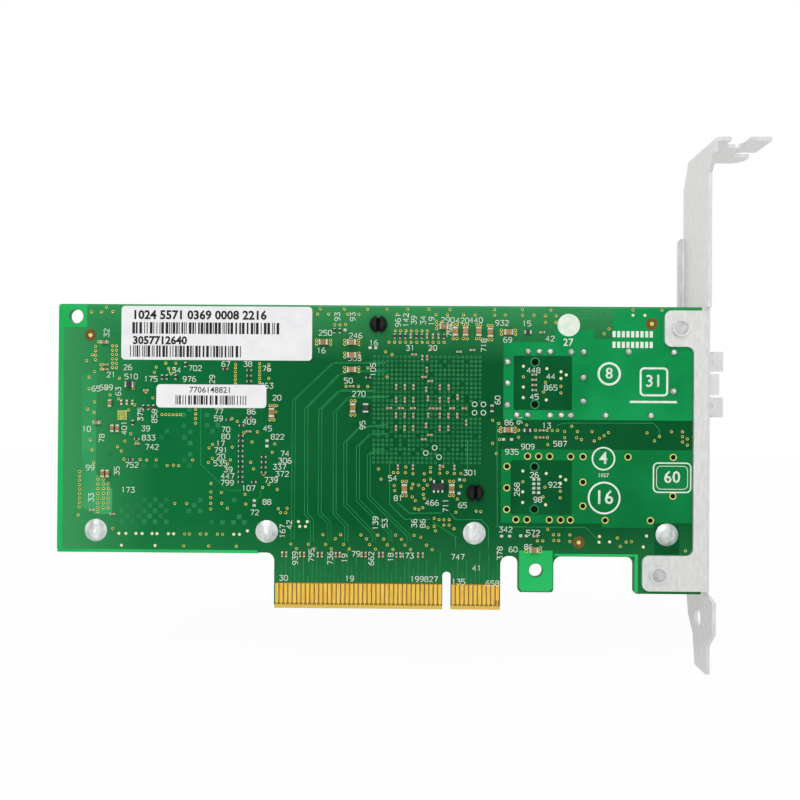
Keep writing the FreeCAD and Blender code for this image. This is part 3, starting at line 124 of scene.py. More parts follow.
def board_finish():
    """Green lacquer over woven laminate: deep in the middle, paler towards the foot and free end, and painted
    paler towards the top as a sheen of light from above.
    """
    material, tree, shader, places = coat("lacquered_laminate", 0.06)
    apart = add(tree, "SeparateXYZ", {"Vector": places})
    # Each share grows along one axis, between two places in millimetres.
    shares = []
    for axis, start, end, most in (("X", -66, BOARD_LEFT, 1.0), ("Z", 56, BOARD_TOP, 0.85),
                                   ("Z", 20, 8, 0.3), ("X", -20, -60, 1.0), ("Z", 0.95, 0.85, 1.0)):
        share = add(tree, "MapRange", {"Value": apart.outputs[axis], "From Min": start * MM,
                                       "From Max": end * MM, "To Max": most})
        shares.append(share.outputs["Result"])
    # The crown share paints a sheen of light from above, reflected in the lacquer, over the top of the board;
    # towards the free end and the foot the board is only paler.
    free_end, crown, foot, lighter_towards_free_end, ground = shares
    sides = add(tree, "Math", {0: free_end, 1: crown}, operation="MAXIMUM")
    paleness_and_painted_sheen = add(tree, "Math", {0: sides.outputs[0], 1: foot}, operation="MAXIMUM")
    # The cloudiness of the lacquer drifts over some 30 mm.
    cloud = add(tree, "TexNoise", {"Vector": places, "Scale": 1 / (30 * MM), "Detail": 3.0})
    drift = add(tree, "Math", {0: cloud.outputs["Fac"], 1: 0.3, 2: paleness_and_painted_sheen.outputs[0]},
                operation="MULTIPLY_ADD")
    share = add(tree, "MapRange", {"Value": drift.outputs[0], "From Min": 0.12, "From Max": 1.2})
    # The deep green is lighter towards the free end, then blended towards a pale green by the paleness and the
    # painted sheen.
    deep = add(tree, "Mix", {0: lighter_towards_free_end, 6: colour("#005428"), 7: colour("#026c36")}, data_type="RGBA")
    green = add(tree, "Mix", {0: share.outputs["Result"], 6: deep.outputs[2], 7: colour("#3c985a")},
                data_type="RGBA")
    # The edge of the contact tongue is ground back to bare glass and resin.
    tone = add(tree, "Mix", {0: ground, 6: green.outputs[2], 7: colour("#e3c25c")}, data_type="RGBA")
    # A weave of 0.4 mm shows faintly through the lacquer.
    weave = add(tree, "TexNoise", {"Vector": places, "Scale": 1 / (0.4 * MM), "Detail": 4.0})
    gloss = add(tree, "MapRange", {"Value": weave.outputs["Fac"], "To Min": 0.26, "To Max": 0.46})
    skin = add(tree, "Bump", {"Height": weave.outputs["Fac"], "Strength": 0.25, "Distance": 0.02 * MM})
    cover(tree, shader, tone, gloss, skin)
    return material


def lacquer(over, dark, light, grain, roughness=0.34, shine=0.06):
    """Green lacquer over something flat on the laminate."""
    return finish("lacquer_over_" + over, dark, light, roughness, grain, shine=shine)


# Solder mask: a green epoxy lacquer, printed and baked. It is brighter over copper than over bare
# laminate, and nearly without shine, so that it stays deep under light from all round.
MASK = board_finish()
BRIGHT_MASK = lacquer("ground_copper", "#1fb257", "#2fc269", 20)
# Over the upper plane the lacquer is painted a lighter green than over the lower one: a painted sheen of light
# from above on the top of the board.
UPPER_MASK = lacquer("upper_plane", "#078444", "#139b54", 16)
LOWER_MASK = lacquer("lower_plane", "#047338", "#0c8344", 16)
PALE_MASK = lacquer("thin_copper", "#2c9354", "#45a568", 14)
DARK_MASK = lacquer("bare_laminate", "#005026", "#045b2e", 8, 0.36)
FAINT_MASK = lacquer("copper_patches", "#1d7543", "#318755", 6)
TRACE_MASK = lacquer("traces", "#1c8247", "#2c9658", 6, 0.3, 0.1)
TENT_MASK = lacquer("vias", "#398d57", "#55a66d", 3, 0.3, 0.1)
# Bare glass and resin where the lacquer is left off: dull yellow-brown.
BARE_TONGUE = finish("bare_tongue", "#87621f", "#9a7630", 0.5, 0.8, shine=0.2)
BARE_LAMINATE = finish("bare_laminate", "#66491f", "#785b2c", 0.5, 0.8, shine=0.2)
# Silkscreen: matt white ink, a little green where it is thin.
SILK = finish("silkscreen_ink", "#d9e8d6", "#eff5ec", 0.6, 1.2, shine=0.2)
# Immersion gold on copper: satin, pale yellow, slightly mottled.
GOLD = finish("immersion_gold", "#cfc45c", "#ece183", 0.34, 0.9, metallic=0.4)
# Hard gold on the contacts: bright yellow, with fine insertion scuffs along z.
CONTACT_GOLD = finish("hard_gold", "#efb93e", "#fdd665", 0.3, 1.2, metallic=0.55, run=(5, 1, 0.4))
# Tin, laid by hot air or melted by hand: bright, lightly pitted, and wavy where it was wiped.
TIN = finish("tinned_copper", "#b4b4a8", "#dfdfd6", 0.3, 0.5, metallic=0.8)
SOLDER = finish("solder_joint", "#a3aca6", "#eef2f0", 0.24, 0.9, metallic=0.85, relief=0.04)
MOUND_SOLDER = finish("wiped_solder", "#b4bdb7", "#f1f4f3", 0.3, 1.6, metallic=0.85, run=(1, 1, 0.35),
                      relief=0.1)
LEAD = finish("tinned_leads", "#bfc3c4", "#e8eaea", 0.28, 0.6, metallic=0.85)
# The depth of a plated hole: nearly black.
HOLE_DARK = finish("hole_shadow", "#06130b", "#0e2013", 0.8, 0.6, shine=0.05)
# Fired barium titanate: matt tan.
CERAMIC = finish("fired_ceramic", "#8b6b3d", "#ad8b57", 0.45, 0.7)
# Glass-glazed film on alumina: black and fairly smooth.
RESISTOR = finish("glazed_resistor", "#1b1b1d", "#303033", 0.4, 0.5)
# Moulded epoxy with mineral filler: charcoal, matt, finely grained.
EPOXY = finish("moulded_epoxy", "#171718", "#272729", 0.55, 0.5, relief=0.02)
# Zinc-plated sheet steel, rolled: pale satin grey with short streaks along its run.
BRACKET_STEEL = finish("plated_sheet_steel", "#d6d7d5", "#e3e4e2", 0.42, 0.8, metallic=0.6,
                       run=(1, 1, 0.35))
# Plated steel screws and springs, and nickel on the cage: pale, cloudy, shinier than the bracket.
SCREW_STEEL = finish("plated_screw_steel", "#b2b4b6", "#d4d6d7", 0.3, 2.4, metallic=0.85, relief=0.02)
SPRING_STEEL = finish("spring_steel", "#d4d6d6", "#dddfdf", 0.28, 3.0, metallic=0.8)
CAGE_NICKEL = finish("nickel_plated_cage", "#dadcdb", "#e4e6e5", 0.3, 4.0, metallic=0.6, run=(0.3, 1, 1))
# Nickel-plated copper over the chip: a duller, darker grey, with its resin package green beneath it.
LID = finish("nickel_plated_lid", "#a3a7aa", "#c6cacc", 0.38, 2.0, metallic=0.85)
PACKAGE = finish("package_laminate", "#2b5a30", "#3d7041", 0.5, 1.5)
# Extruded aluminium, cleaned by etching: grey, satin, streaked along the extrusion.
SINK = finish("etched_aluminium", "#a6aaae", "#c9ccce", 0.4, 3.0, metallic=0.85, run=(0.12, 1, 1))
# Filled silicone: a soft mid grey with no shine.
THERMAL = finish("thermal_pad_silicone", "#8a8c93", "#9c9ea4", 0.8, 0.8, shine=0.2)
# Glass-filled nylon: black, matt, with a faint sheen.
SOCKET_NYLON = finish("glass_filled_nylon", "#141415", "#232325", 0.5, 0.6, relief=0.02)
PIN_NYLON = finish("black_nylon", "#080909", "#171818", 0.6, 0.7, shine=0.25, relief=0.06)
# Pressed iron powder: dark grey and rough.
FERRITE = finish("pressed_ferrite", "#34363a", "#4e5154", 0.62, 0.6, relief=0.04)
# Polymer capacitors moulded in ochre resin, with a brown band printed over one end.
POLYMER = finish("moulded_polymer_capacitor", "#c39329", "#ddb14c", 0.45, 1.0)
BROWN_BAND = finish("polarity_band", "#5e3c17", "#6f4b22", 0.5, 1.0)
# A seam-welded nickel lid: smooth and bright.
CRYSTAL = finish("crystal_can_lid", "#c2c5c7", "#e3e5e6", 0.26, 1.0, metallic=0.85)
# Clear epoxy lens, milky over its lead frame.
LAMP = finish("clear_epoxy_lens", "#e2e8d6", "#f0f4e8", 0.2, 1.5)
# Coated label paper, and the ink of a thermal printer and a laser marker.
PAPER = finish("coated_label_paper", "#ebebee", "#f3f3f4", 0.5, 3.0, shine=0.2)
INK = finish("thermal_transfer_ink", "#161619", "#26262b", 0.55, 0.8, shine=0.2)
GREY_INK = finish("pale_marking_ink", "#8d8e92", "#a5a6aa", 0.55, 0.8, shine=0.2)


# ---------------------------------------------------------------- building pieces

UPRIGHT = Matrix.Rotation(math.radians(90), 4, "X")


def put(name, data):
    """A new object in the scene."""
    thing = bpy.data.objects.new(name, data)
    bpy.context.scene.collection.objects.link(thing)
    return thing


def arc(x, z, radius, start, end, steps):
    """Points on an arc, with its angles in degrees."""
    angles = [math.radians(start + (end - start) * step / steps) for step in range(steps + 1)]
    return [(x + radius * math.cos(angle), z + radius * math.sin(angle)) for angle in angles]


def oblong(left, low, right, high, round_by=0.0):
    """The outline of a rectangle, with rounded corners where it is asked for."""
    if not round_by:
        return [(left, low), (right, low), (right, high), (left, high)]
    outline = arc(left + round_by, low + round_by, round_by, 180, 270, 5)
    outline += arc(right - round_by, low + round_by, round_by, 270, 360, 5)
    outline += arc(right - round_by, high - round_by, round_by, 0, 90, 5)
    outline += arc(left + round_by, high - round_by, round_by, 90, 180, 5)
    return outline


def row(x, z, step_x, step_z, count):
    """Places in a straight row."""
    return [(x + step_x * number, z + step_z * number) for number in range(count)]


def beside(z, *places):
    """Places beside one another, all at one height."""
    return [(x, z) for x in places]


def above(x, *heights):
    """Places one above another."""
    return [(x, z) for z in heights]


class Piece:
    """One object of the scene, made of closed shapes in millimetres over one face of the board."""

    def __init__(self, name, slot, materials, side=SOLDER_SIDE):
        self.name = name
        self.slot = slot
        self.materials = materials
        self.side = side
        self.mesh = bmesh.new()
        self.flats = []

    def spot(self, x, level, z):
        """A point over the board face."""
        return Vector((x, FACE_Y[self.side] + self.side * level, z))

    def lay(self, outline, level, material=0):
        """Lay a flat face of an outline."""
        face = self.mesh.faces.new([self.mesh.verts.new(self.spot(x, level, z)) for x, z in outline])
        face.material_index = material
        self.flats.append(face)

    def lay_disc(self, x, z, radius, level, steps=12, material=0):
        """Lay a flat disc."""
        place = Matrix.Translation(self.spot(x, level, z)) @ UPRIGHT
        made = bmesh.ops.create_circle(self.mesh, cap_ends=True, radius=radius, segments=steps,
                                       matrix=place)
        face = made["verts"][0].link_faces[0]
        face.material_index = material
        self.flats.append(face)

    def lay_strip(self, path, width, level, material=0):
        """Lay a flat strip along a path, with mitred turns."""
        edge = None
        for i, (x, z) in enumerate(path):
            here = Vector((x, z))
            ahead = (Vector(path[min(i + 1, len(path) - 1)]) - here).normalized()
            behind = (here - Vector(path[max(i - 1, 0)])).normalized()
            run = (ahead + behind).normalized()
            reach = width / 2 / max(0.5, run.dot(ahead), run.dot(behind))
            left = self.spot(x - run.y * reach, level, z + run.x * reach)
            right = self.spot(x + run.y * reach, level, z - run.x * reach)
            if edge is None:
                edge = self.mesh.edges.new([self.mesh.verts.new(left), self.mesh.verts.new(right)])
                last_left = edge.verts[0].co.copy()
                continue
            made = bmesh.ops.extrude_edge_only(self.mesh, edges=[edge])["geom"]
            edge = next(part for part in made if isinstance(part, bmesh.types.BMEdge))
            face = edge.link_faces[0]
            for corner in edge.verts:
                corner.co = left if (corner.co - last_left).length < 1e-6 else right
            last_left = left.copy()
            face.material_index = material
            self.flats.append(face)

    def extrude(self, faces, step):
        """Drag flat faces by a step, and hand back the faces at its end."""
        made = bmesh.ops.extrude_face_region(self.mesh, geom=faces)["geom"]
        moved = [part for part in made if isinstance(part, bmesh.types.BMVert)]
        bmesh.ops.translate(self.mesh, vec=step, verts=moved)
        return [part for part in made if isinstance(part, bmesh.types.BMFace)]

    def thicken(self, height):
        """Give the flats laid so far a thickness, and hand back their upper faces."""
        tops = self.extrude(self.flats, (0, self.side * height, 0))
        self.flats = []
        return tops

    def stamp_rings(self, places, outer, inner, height, level=0.0, steps=10, ring=0, depth=0.03):
        """Stamp plated rings round their dark or filled middles, which take the second material."""
        for x, z in places:
            self.lay_disc(x, z, outer, level, steps, ring)
        tops = self.thicken(height)
        bmesh.ops.inset_individual(self.mesh, faces=tops, thickness=outer - inner)
        for face in tops:
            face.material_index = 1
            bmesh.ops.translate(self.mesh, vec=(0, -self.side * depth, 0), verts=face.verts)

    def turn(self, profile, x, z, steps):
        """Turn a smooth profile of (radius, level) points round an axis square to the board."""
        corners = [self.mesh.verts.new(self.spot(x + radius, level, z)) for radius, level in profile]
        edges = [self.mesh.edges.new(pair) for pair in zip(corners, corners[1:])]
        known = set(self.mesh.faces)
        bmesh.ops.spin(self.mesh, geom=corners + edges, cent=self.spot(x, 0, z), axis=(0, 1, 0),
                       angle=math.tau, steps=steps, use_merge=True)
        for face in set(self.mesh.faces) - known:
            face.smooth = True

    def block(self, low, high, edge, material=0, segments=1):
        """A box between two (x, level, z) corners, with its edges broken."""
        a = self.spot(*low)
        b = self.spot(*high)
        size = Vector([abs(value) for value in b - a])
        place = Matrix.Translation((a + b) / 2) @ Matrix.Diagonal((*size, 1))
        made = bmesh.ops.create_cube(self.mesh, size=1, matrix=place)["verts"]
        edges = {line for corner in made for line in corner.link_edges}
        for face in {face for corner in made for face in corner.link_faces}:
            face.material_index = material
        if edge:
            bmesh.ops.bevel(self.mesh, geom=list(edges), offset=edge, segments=segments, profile=0.5,
                            affect="EDGES", material=-1, clamp_overlap=True)

    def frame(self, left, low, right, high, width, round_by=0.0):
        """Lay a line of ink round an oblong."""
        edge = oblong(left, low, right, high, round_by)
        self.lay_strip(edge + edge[:1], width, INK_LEVEL)

    def print_line(self, words, x, z, height, level, weight=0.0, material=0, upright=False):
        """Print a line of numbers, centred on a place."""
        line = bpy.data.curves.new("line", "FONT")
        line.body = words
        # The font's numerals are 1 / 1.38 of its size high.
        line.size = height * 1.38
        line.offset = weight
        line.resolution_u = 2
        line.align_x = "CENTER"
        line.align_y = "CENTER"
        holder = bpy.data.objects.new("line", line)
        drawn = bpy.data.meshes.new_from_object(holder)
        turned = Matrix.Rotation(math.radians(90 if upright else 0), 4, "Z")
        across = Matrix.Diagonal((-self.side, 1, 1, 1))
        place = Matrix.Translation(self.spot(x, level, z)) @ UPRIGHT @ across @ turned
        drawn.transform(place)
        known = set(self.mesh.faces)
        self.mesh.from_mesh(drawn)
        for face in set(self.mesh.faces) - known:
            face.material_index = material
            self.flats.append(face)
        bpy.data.objects.remove(holder)
        bpy.data.curves.remove(line)
        bpy.data.meshes.remove(drawn)

    def finish(self, replaces=()):
        """Turn the piece into an object that rides on the card."""
        bmesh.ops.remove_doubles(self.mesh, verts=self.mesh.verts, dist=1e-5)
        bmesh.ops.recalc_face_normals(self.mesh, faces=self.mesh.faces)
        bmesh.ops.scale(self.mesh, vec=(MM, MM, MM), verts=self.mesh.verts)
        data = bpy.data.meshes.new(self.name)
        self.mesh.to_mesh(data)
        self.mesh.free()
        for material in self.materials:
            data.materials.append(material)
        thing = put(self.name, data)
        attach(thing, "root")
        if replaces:
            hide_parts(*replaces)


def solids(node, side):
    """The boxes of a CAD node's separate solids, as two (x, level, z) corners in millimetres."""
    shape = bmesh.new()
    shape.from_mesh(nodes[node].data)
    bmesh.ops.remove_doubles(shape, verts=shape.verts, dist=1e-7)
    left = set(shape.verts)
    boxes = []
    while left:
        stack = [left.pop()]
        spots = []
        while stack:
            corner = stack.pop()
            spots.append(corner.co / MM)
            for edge in corner.link_edges:
                other = edge.other_vert(corner)
                if other in left:
                    left.remove(other)
                    stack.append(other)
        across = [spot.x for spot in spots]
        proud = [side * (spot.y - FACE_Y[side]) for spot in spots]
        up = [spot.z for spot in spots]
        boxes.append(((min(across), min(proud), min(up)), (max(across), max(proud), max(up))))
    shape.free()
    return sorted(boxes, key=lambda pair: (round(pair[0][0], 2), round(pair[0][2], 2)))


def middle(low, high):
    """The middle of a box, as x and z."""
    return (low[0] + high[0]) / 2, (low[2] + high[2]) / 2


def measure(low, high):
    """A box seen lengthways: a maker of its corners, its length and width, and whether it is upright."""
    long = 0 if high[0] - low[0] > high[2] - low[2] else 2
    wide = 2 - long

    def corner(along, level, across):
        point = [0, level, 0]
        point[long] = low[long] + along
        point[wide] = low[wide] + across
        return tuple(point)

    return corner, high[long] - low[long], high[wide] - low[wide], long == 2


# ---------------------------------------------------------------- printed numbers

# Pen strokes of the silkscreen's numerals, on a grid 4 wide and 6 high.
NUMERALS = {
    "0": [[(1, 0), (3, 0), (4, 1), (4, 5), (3, 6), (1, 6), (0, 5), (0, 1), (1, 0)]],
    "1": [[(1, 5), (2, 6), (2, 0)]],
    "2": [[(0, 5), (1, 6), (3, 6), (4, 5), (4, 4), (0, 0), (4, 0)]],
    "3": [[(0, 6), (4, 6), (2, 3.5), (3, 3.5), (4, 2.5), (4, 1), (3, 0), (1, 0), (0, 1)]],
    "4": [[(3, 0), (3, 6), (0, 2), (4, 2)]],
    "5": [[(4, 6), (0, 6), (0, 3.5), (3, 3.5), (4, 2.5), (4, 1), (3, 0), (0, 0)]],
    "6": [[(3.5, 6), (1.5, 6), (0, 4), (0, 1), (1, 0), (3, 0), (4, 1), (4, 2.5), (3, 3.3), (0, 3.3)]],
    "7": [[(0, 6), (4, 6), (1.5, 0)]],
    "8": [[(1, 3.2), (0, 4.2), (0, 5), (1, 6), (3, 6), (4, 5), (4, 4.2), (3, 3.2), (1, 3.2), (0, 2.2),
           (0, 1), (1, 0), (3, 0), (4, 1), (4, 2.2), (3, 3.2)]],
    "9": [[(0.5, 0), (2.5, 0), (4, 2), (4, 5), (3, 6), (1, 6), (0, 5), (0, 3.5), (1, 2.7), (4, 2.7)]],
}


def pen_number(piece, words, x, z, height, upright=False):
    """Draw a number in pen strokes, centred on a place."""
    unit = height / 6
    gap = 1.6
    pitch = 4 + gap
    nib = 0.14
    start = -(len(words) * pitch - gap) / 2
    for place, numeral in enumerate(words):
        for stroke in NUMERALS[numeral]:
            path = []
            for across, up in stroke:
                a = (start + place * pitch + across) * unit * -piece.side
                b = (up - 3) * unit
                path.append((x - b * -piece.side, z + a * -piece.side) if upright else (x + a, z + b))
            piece.lay_strip(path, nib, INK_LEVEL)


# ---------------------------------------------------------------- the solder side

dice = random.Random(7)

PORT_SPACING = 23.74
LEG_PLACES = [middle(*box) for box in solids("cage_solder_joints", SOLDER_SIDE)]
PEG_PLACES = [(19.75, 56.28), (19.75, 46.68), (19.75, 32.54), (19.75, 22.94)]
CORNER_HOLE = (-84.8, 66.1)
HOOK_HOLE = (20.15, 9.1)
HOOK_LEFT = 16.15
HOOK_RIGHT = 24.15
HOOK_FOOT = 4.15
# The ground copper at the free end's upper corner: its right side, its crown and its foot.
CORNER_RIGHT = -82.3
CROWN = 68.78
CORNER_FOOT = 63.6
# How far plating and ink stand up, and the ink on the parts.
PLATING = 0.05
INK_LEVEL = 0.03
PART_INK = 0.008

# Plated holes that stay open, then plated holes filled with ink, and rings round test points.
VIAS = [
    *row(-48.3, 51.1, 0, 0.85, 6), *row(-42.8, 51.3, 0, 0.85, 6), *row(-65, 43.8, 0.85, 0, 6),
    *row(-57.3, 41.9, 0, 1.05, 4), *row(-80.3, 56.2, 0, 1, 4), *row(-76.4, 54.4, 0, 1, 6),
    *row(-75.5, 54.4, 0, 1, 6), *row(-83.7, 22.7, 0, 1, 9), *row(-79.5, 22.5, 0, 1.08, 7),
    *row(-78.2, 22.5, 0, 1.08, 7), *row(-77.1, 22.5, 0, 1.1, 6),
    *beside(68.1, -29.1, -23.6, -18.4, -13.9, -9.2, -4.4, 0.4, 10.5),
    *beside(66.9, -29.7, -27.2, -22.9, -20.3, -11.6, -9.2, -2.8, -0.2, 3.5, 6.1, 10.5),
    *row(-12, 63.2, 1.21, 0, 7), *row(-13.4, 60.6, 1.25, 0, 11),
    *beside(15.9, -25.3, -18.2, -14.3, -10.3, 24.2, 25.3),
    *beside(16.7, -59.6, -58.5, -56, -54.7, -52.1, -50.9),
    *beside(16.8, -28.1, -24.1, -19.5, -15.7, -11.6, -7.4), *above(-53.7, 22.4, 23.7, 25, 26.3, 28.2),
    *beside(39.2, 16.1, 20, 22.6, 26.5, 29.2), *beside(40.8, 16.1, 19.9, 22.5, 23.7, 24.9),
    *beside(68.2, -77.9, 16.8, 41.8, 48.3), *above(-80.5, 32.7, 44.2, 53.5), *above(-40.7, 52.2, 54.1, 55.3),
    *above(-5.2, 25.2, 29.3, 30.8), *above(-3.8, 29.6, 31.2, 32.2), *above(53.1, 38.4, 39.6, 40.7),
    *beside(14, -59.8, -54.1, -47.8), *beside(15.8, 20.5, 21.7, 41.7), *beside(17.2, 24.1, 25.3, 27.8),
    *beside(20.4, -1.8, -0.7, 0.5), *beside(23.6, -61.9, -59.2, -45.7), *beside(30.9, -1.7, 1.6, 3.1),
    *beside(31, -12.2, -11.2, -9.5), *beside(33.5, -69.9, -66.2, -57.9), *beside(37.7, -73.4, -44.4, 54.2),
    *beside(40.6, 26.5, 29.4, 32.7), *beside(50.5, -23.1, -20.3, -18.2), *beside(66.9, 12.9, 16.8, 19.4),
    (-64.2, 55.5), (-61.9, 55.5), (-63.6, 54.3), (-62.4, 54.2), (-63, 53.1), (-66.4, 54.6), (-66.8, 53.4),
    (-48.9, 36.5), (-49.3, 33.6), (-49.9, 32.7), (-43.2, 40), (-39.8, 35.4), (-39.2, 37.3), (-44.7, 33.1),
    (-44, 31.6), (-41.7, 30.4), (-40.5, 28.1), (-38.6, 27), (-45.9, 25.8), (-41.9, 27.4), (-49, 43),
    (-47.8, 42.4), (-46.3, 39.8), (-38.9, 46), (-39, 44.6), (-39.7, 43.2), (-81.7, 49.6), (-80.4, 46.6),
    (-82, 44.9), (-81.3, 37.9), (-80.9, 35.7), (-77.6, 49.8), (-76.9, 48.2), (-74.9, 47.3), (-71.6, 49.7),
    (-71.3, 46), (-72.6, 44.8), (-70.3, 42.8), (-72.1, 39.4), (-75.1, 36.4), (-74.2, 35.5), (-70.7, 37.6),
    (-68.4, 33.4), (-73.6, 33.6), (-82.3, 56), (-81, 57.3), (-64.6, 46.2), (-66.8, 45), (-67.9, 45.4),
    (-67.1, 47.6), (-68.7, 48.9), (-81.3, 67.1), (-79, 67.1), (-76.4, 67.2), (-79.6, 60.3), (-79, 55.1),
    (-78.9, 54.1), (-81.7, 52.2), (-74.8, 52), (-83.9, 20.8), (-79.5, 21.6), (-76, 17.8), (-51.3, 26.2),
    (-51.2, 23.7), (-49.9, 22.6), (-63.7, 32.2), (-62.3, 32.3), (-61.1, 32.2), (-54.2, 36.3), (-53.4, 37.1),
    (-54.3, 33), (-53.4, 33.9), (-25.8, 64.5), (-24.6, 64.5), (-23.3, 64.6), (-14.2, 58.4), (-12.7, 57.8),
    (-13.8, 52.7), (-18.2, 54.7), (-0.2, 63), (-2.7, 65.4), (-1.6, 65.2), (-38.3, 22.6), (-36.3, 22.7),
    (-37.8, 21.7), (-36.6, 21.7), (-5.9, 16.4), (-7.8, 30.8), (-9.4, 32.3), (-1, 32.5), (0, 31.1),
    (-12, 28.1), (-11.9, 26.9), (-8.1, 27.5), (-7.8, 28.4), (-6.5, 28.2), (-4.5, 28.2), (-5.4, 27.4),
    (-5.4, 26.1), (-7.9, 25.5), (-7.2, 24.7), (-7.3, 22.9), (-6.4, 22.7), (-5.5, 23.1), (-15.6, 31.8),
    (-15, 29.5), (3.9, 29.4), (3.1, 28), (2.3, 25.1), (-2.9, 20.7), (-0.7, 19.2), (0.5, 19.2), (1.6, 18.4),
    (-2.9, 18.9), (-4.3, 18.6), (-2.6, 17.9), (2, 22.1), (6.6, 22.4), (7.6, 22.3), (10.2, 43), (10.2, 37.8),
    (11.1, 35.5), (11.6, 42.3), (11.6, 40.7), (23.2, 68.1), (22, 66.8), (24.4, 66.8), (22, 65.3),
    (24.4, 65.3), (36.4, 63.9), (35.3, 62.8), (17.9, 42), (28.1, 41.8), (36.4, 40.4), (35.4, 39.7),
    (34.4, 39.1), (33.2, 38.5), (30.3, 38.8), (11.8, 38.7), (22.7, 37.6), (45.1, 40.4), (47.9, 39.6),
    (46.8, 38.6), (50.6, 40.7), (54.2, 39.1), (38.5, 16.6), (40.5, 15.7), (39.2, 14.7), (22.8, 18.4),
    (27.8, 15.7), (53.9, 13.8),
    *[(x + dx, z) for x in (-35.4, -31.4, -27.5, -23.4, -17.5, -13.5, -9.5, -4.6)
      for dx, z in ((0, 14.6), (1.3, 13.6))],
    *[(x, z - drop) for drop in (0, PORT_SPACING)
      for x, z in ((17.1, 52.9), (22.1, 51.7), (21.7, 49.5), (25.6, 50.8), (25.6, 49.3))],
]

FILLED_VIAS = [
    *beside(16.7, -74.6, -73, -70.7, -69.3, -67, -65.9, -63.3, -62.1, -48.4, -47.1), (-45.3, 17.5),
    (-74, 14), (-66.3, 14), (-33.7, 19.7), (-31.7, 19.7), (-33.4, 18.6), (-32.1, 18.6), (41.8, 67), (44.5, 67),
    (34.5, 16.9), (34.4, 15.6), (36.8, 15.7), (45.1, 17.1), (44.4, 14.6),
    *[(x, z - drop) for drop in (0, PORT_SPACING)
      for x, z in ((17.1, 55.3), (22.4, 54.8), (25.6, 54.1), (25.6, 52.6), (26.8, 53.4),
                   (17.1, 50.6), (17.1, 48.2), (22.3, 47.7))],
]

TEST_RINGS = [(-4.9, 35.5), (-2.9, 36.7), (-1.9, 34.6), (6.1, 46.6), (8.1, 46.6), (6.1, 44.7), (8.1, 44.7)]

# Small copper squares that even out the plating.
THIEVING = [
    *row(-74, 24.4, 2.55, 0, 5), *row(-72.7, 23.1, 2.55, 0, 4), *row(-74, 21.9, 2.55, 0, 5),
    *row(-72.7, 20.7, 2.55, 0, 4), *row(-74, 19.4, 2.55, 0, 5), *row(-53.5, 19.4, 2.5, 0, 4),
    *above(-58.5, 34.8, 37.3, 39.9), (-56.1, 24.4), (-48.4, 24.5), (-57.5, 23.2), (-58.7, 21.9),
    (-56.1, 21.9), (-47.2, 20.7), (-60, 43.7), (-58.7, 45), (-59.9, 41.3), (-59.8, 38.6), (-59.8, 33.5),
    (-58.6, 32.3), (-54.7, 43.7), (-54.7, 41.4), (-53.4, 40.1), (-52.2, 41.4), (-63.8, 40), (-65, 38.6),
    (-76.7, 34.7), (-69, 32.2), (-66.4, 32.2),
]

# Pairs of coupled traces from the controller down to the contacts.
COUPLED_TRACES = [
    [(-13.8, 55.9), (-26.1, 55.8), (-34.9, 47.3), (-35, 15.4)],
    [(-13.8, 54), (-21.8, 53.9), (-24.7, 53.2), (-32.1, 45.5), (-32, 21.5), (-30.7, 20.1), (-30.6, 15.1)],
    [(-16.7, 49.5), (-24.6, 49.5), (-28.9, 45.2), (-28.9, 21.6), (-26.7, 19.5), (-26.6, 15.1)],
    [(-13.8, 48.1), (-22.5, 48), (-25.6, 44.6), (-25.5, 21.6), (-22.8, 18.8), (-22.8, 15.2)],
    [(-13.7, 41.8), (-19.9, 41.2), (-23.2, 37.8), (-23.1, 23.7), (-16.5, 16.9), (-16.5, 15.2)],
    [(-13.7, 39.7), (-17.5, 39.7), (-20.3, 36.9), (-20.2, 24.6), (-12.8, 17.3), (-12.8, 15.3)],
    [(-13.7, 35.8), (-16.9, 35.8), (-17.8, 35.1), (-17.8, 25.5), (-8.7, 16.7), (-8.6, 15.3)],
]

SINGLE_TRACES = [
    [(-13.1, 34.1), (-13, 23.8), (-9.6, 20.4), (-3.8, 20.5)],
    [(-11.4, 24.3), (-8.5, 21.8), (-1.3, 21.9)],
    [(0.7, 21.9), (2, 20.4), (7.8, 20.5), (9.4, 18.7), (9.4, 14)],
    [(11.2, 42.6), (11.4, 18.7)],
    [(-3.3, 19.9), (2, 16.5), (2, 13.9)],
    [(4.6, 38.5), (4.6, 32)],
    [(24.8, 42), (26.5, 42.5), (46.5, 42.6), (47.9, 41.2), (47.9, 39.7)],
    [(11, 18.9), (31.4, 18.9), (35.2, 15.1)],
    [(-56.2, 45.3), (-56.1, 32.6), (-50, 26.7), (-46.8, 26.7)],
    [(-42.4, 26.8), (-42.4, 25.5), (-43.5, 24.1)],
]

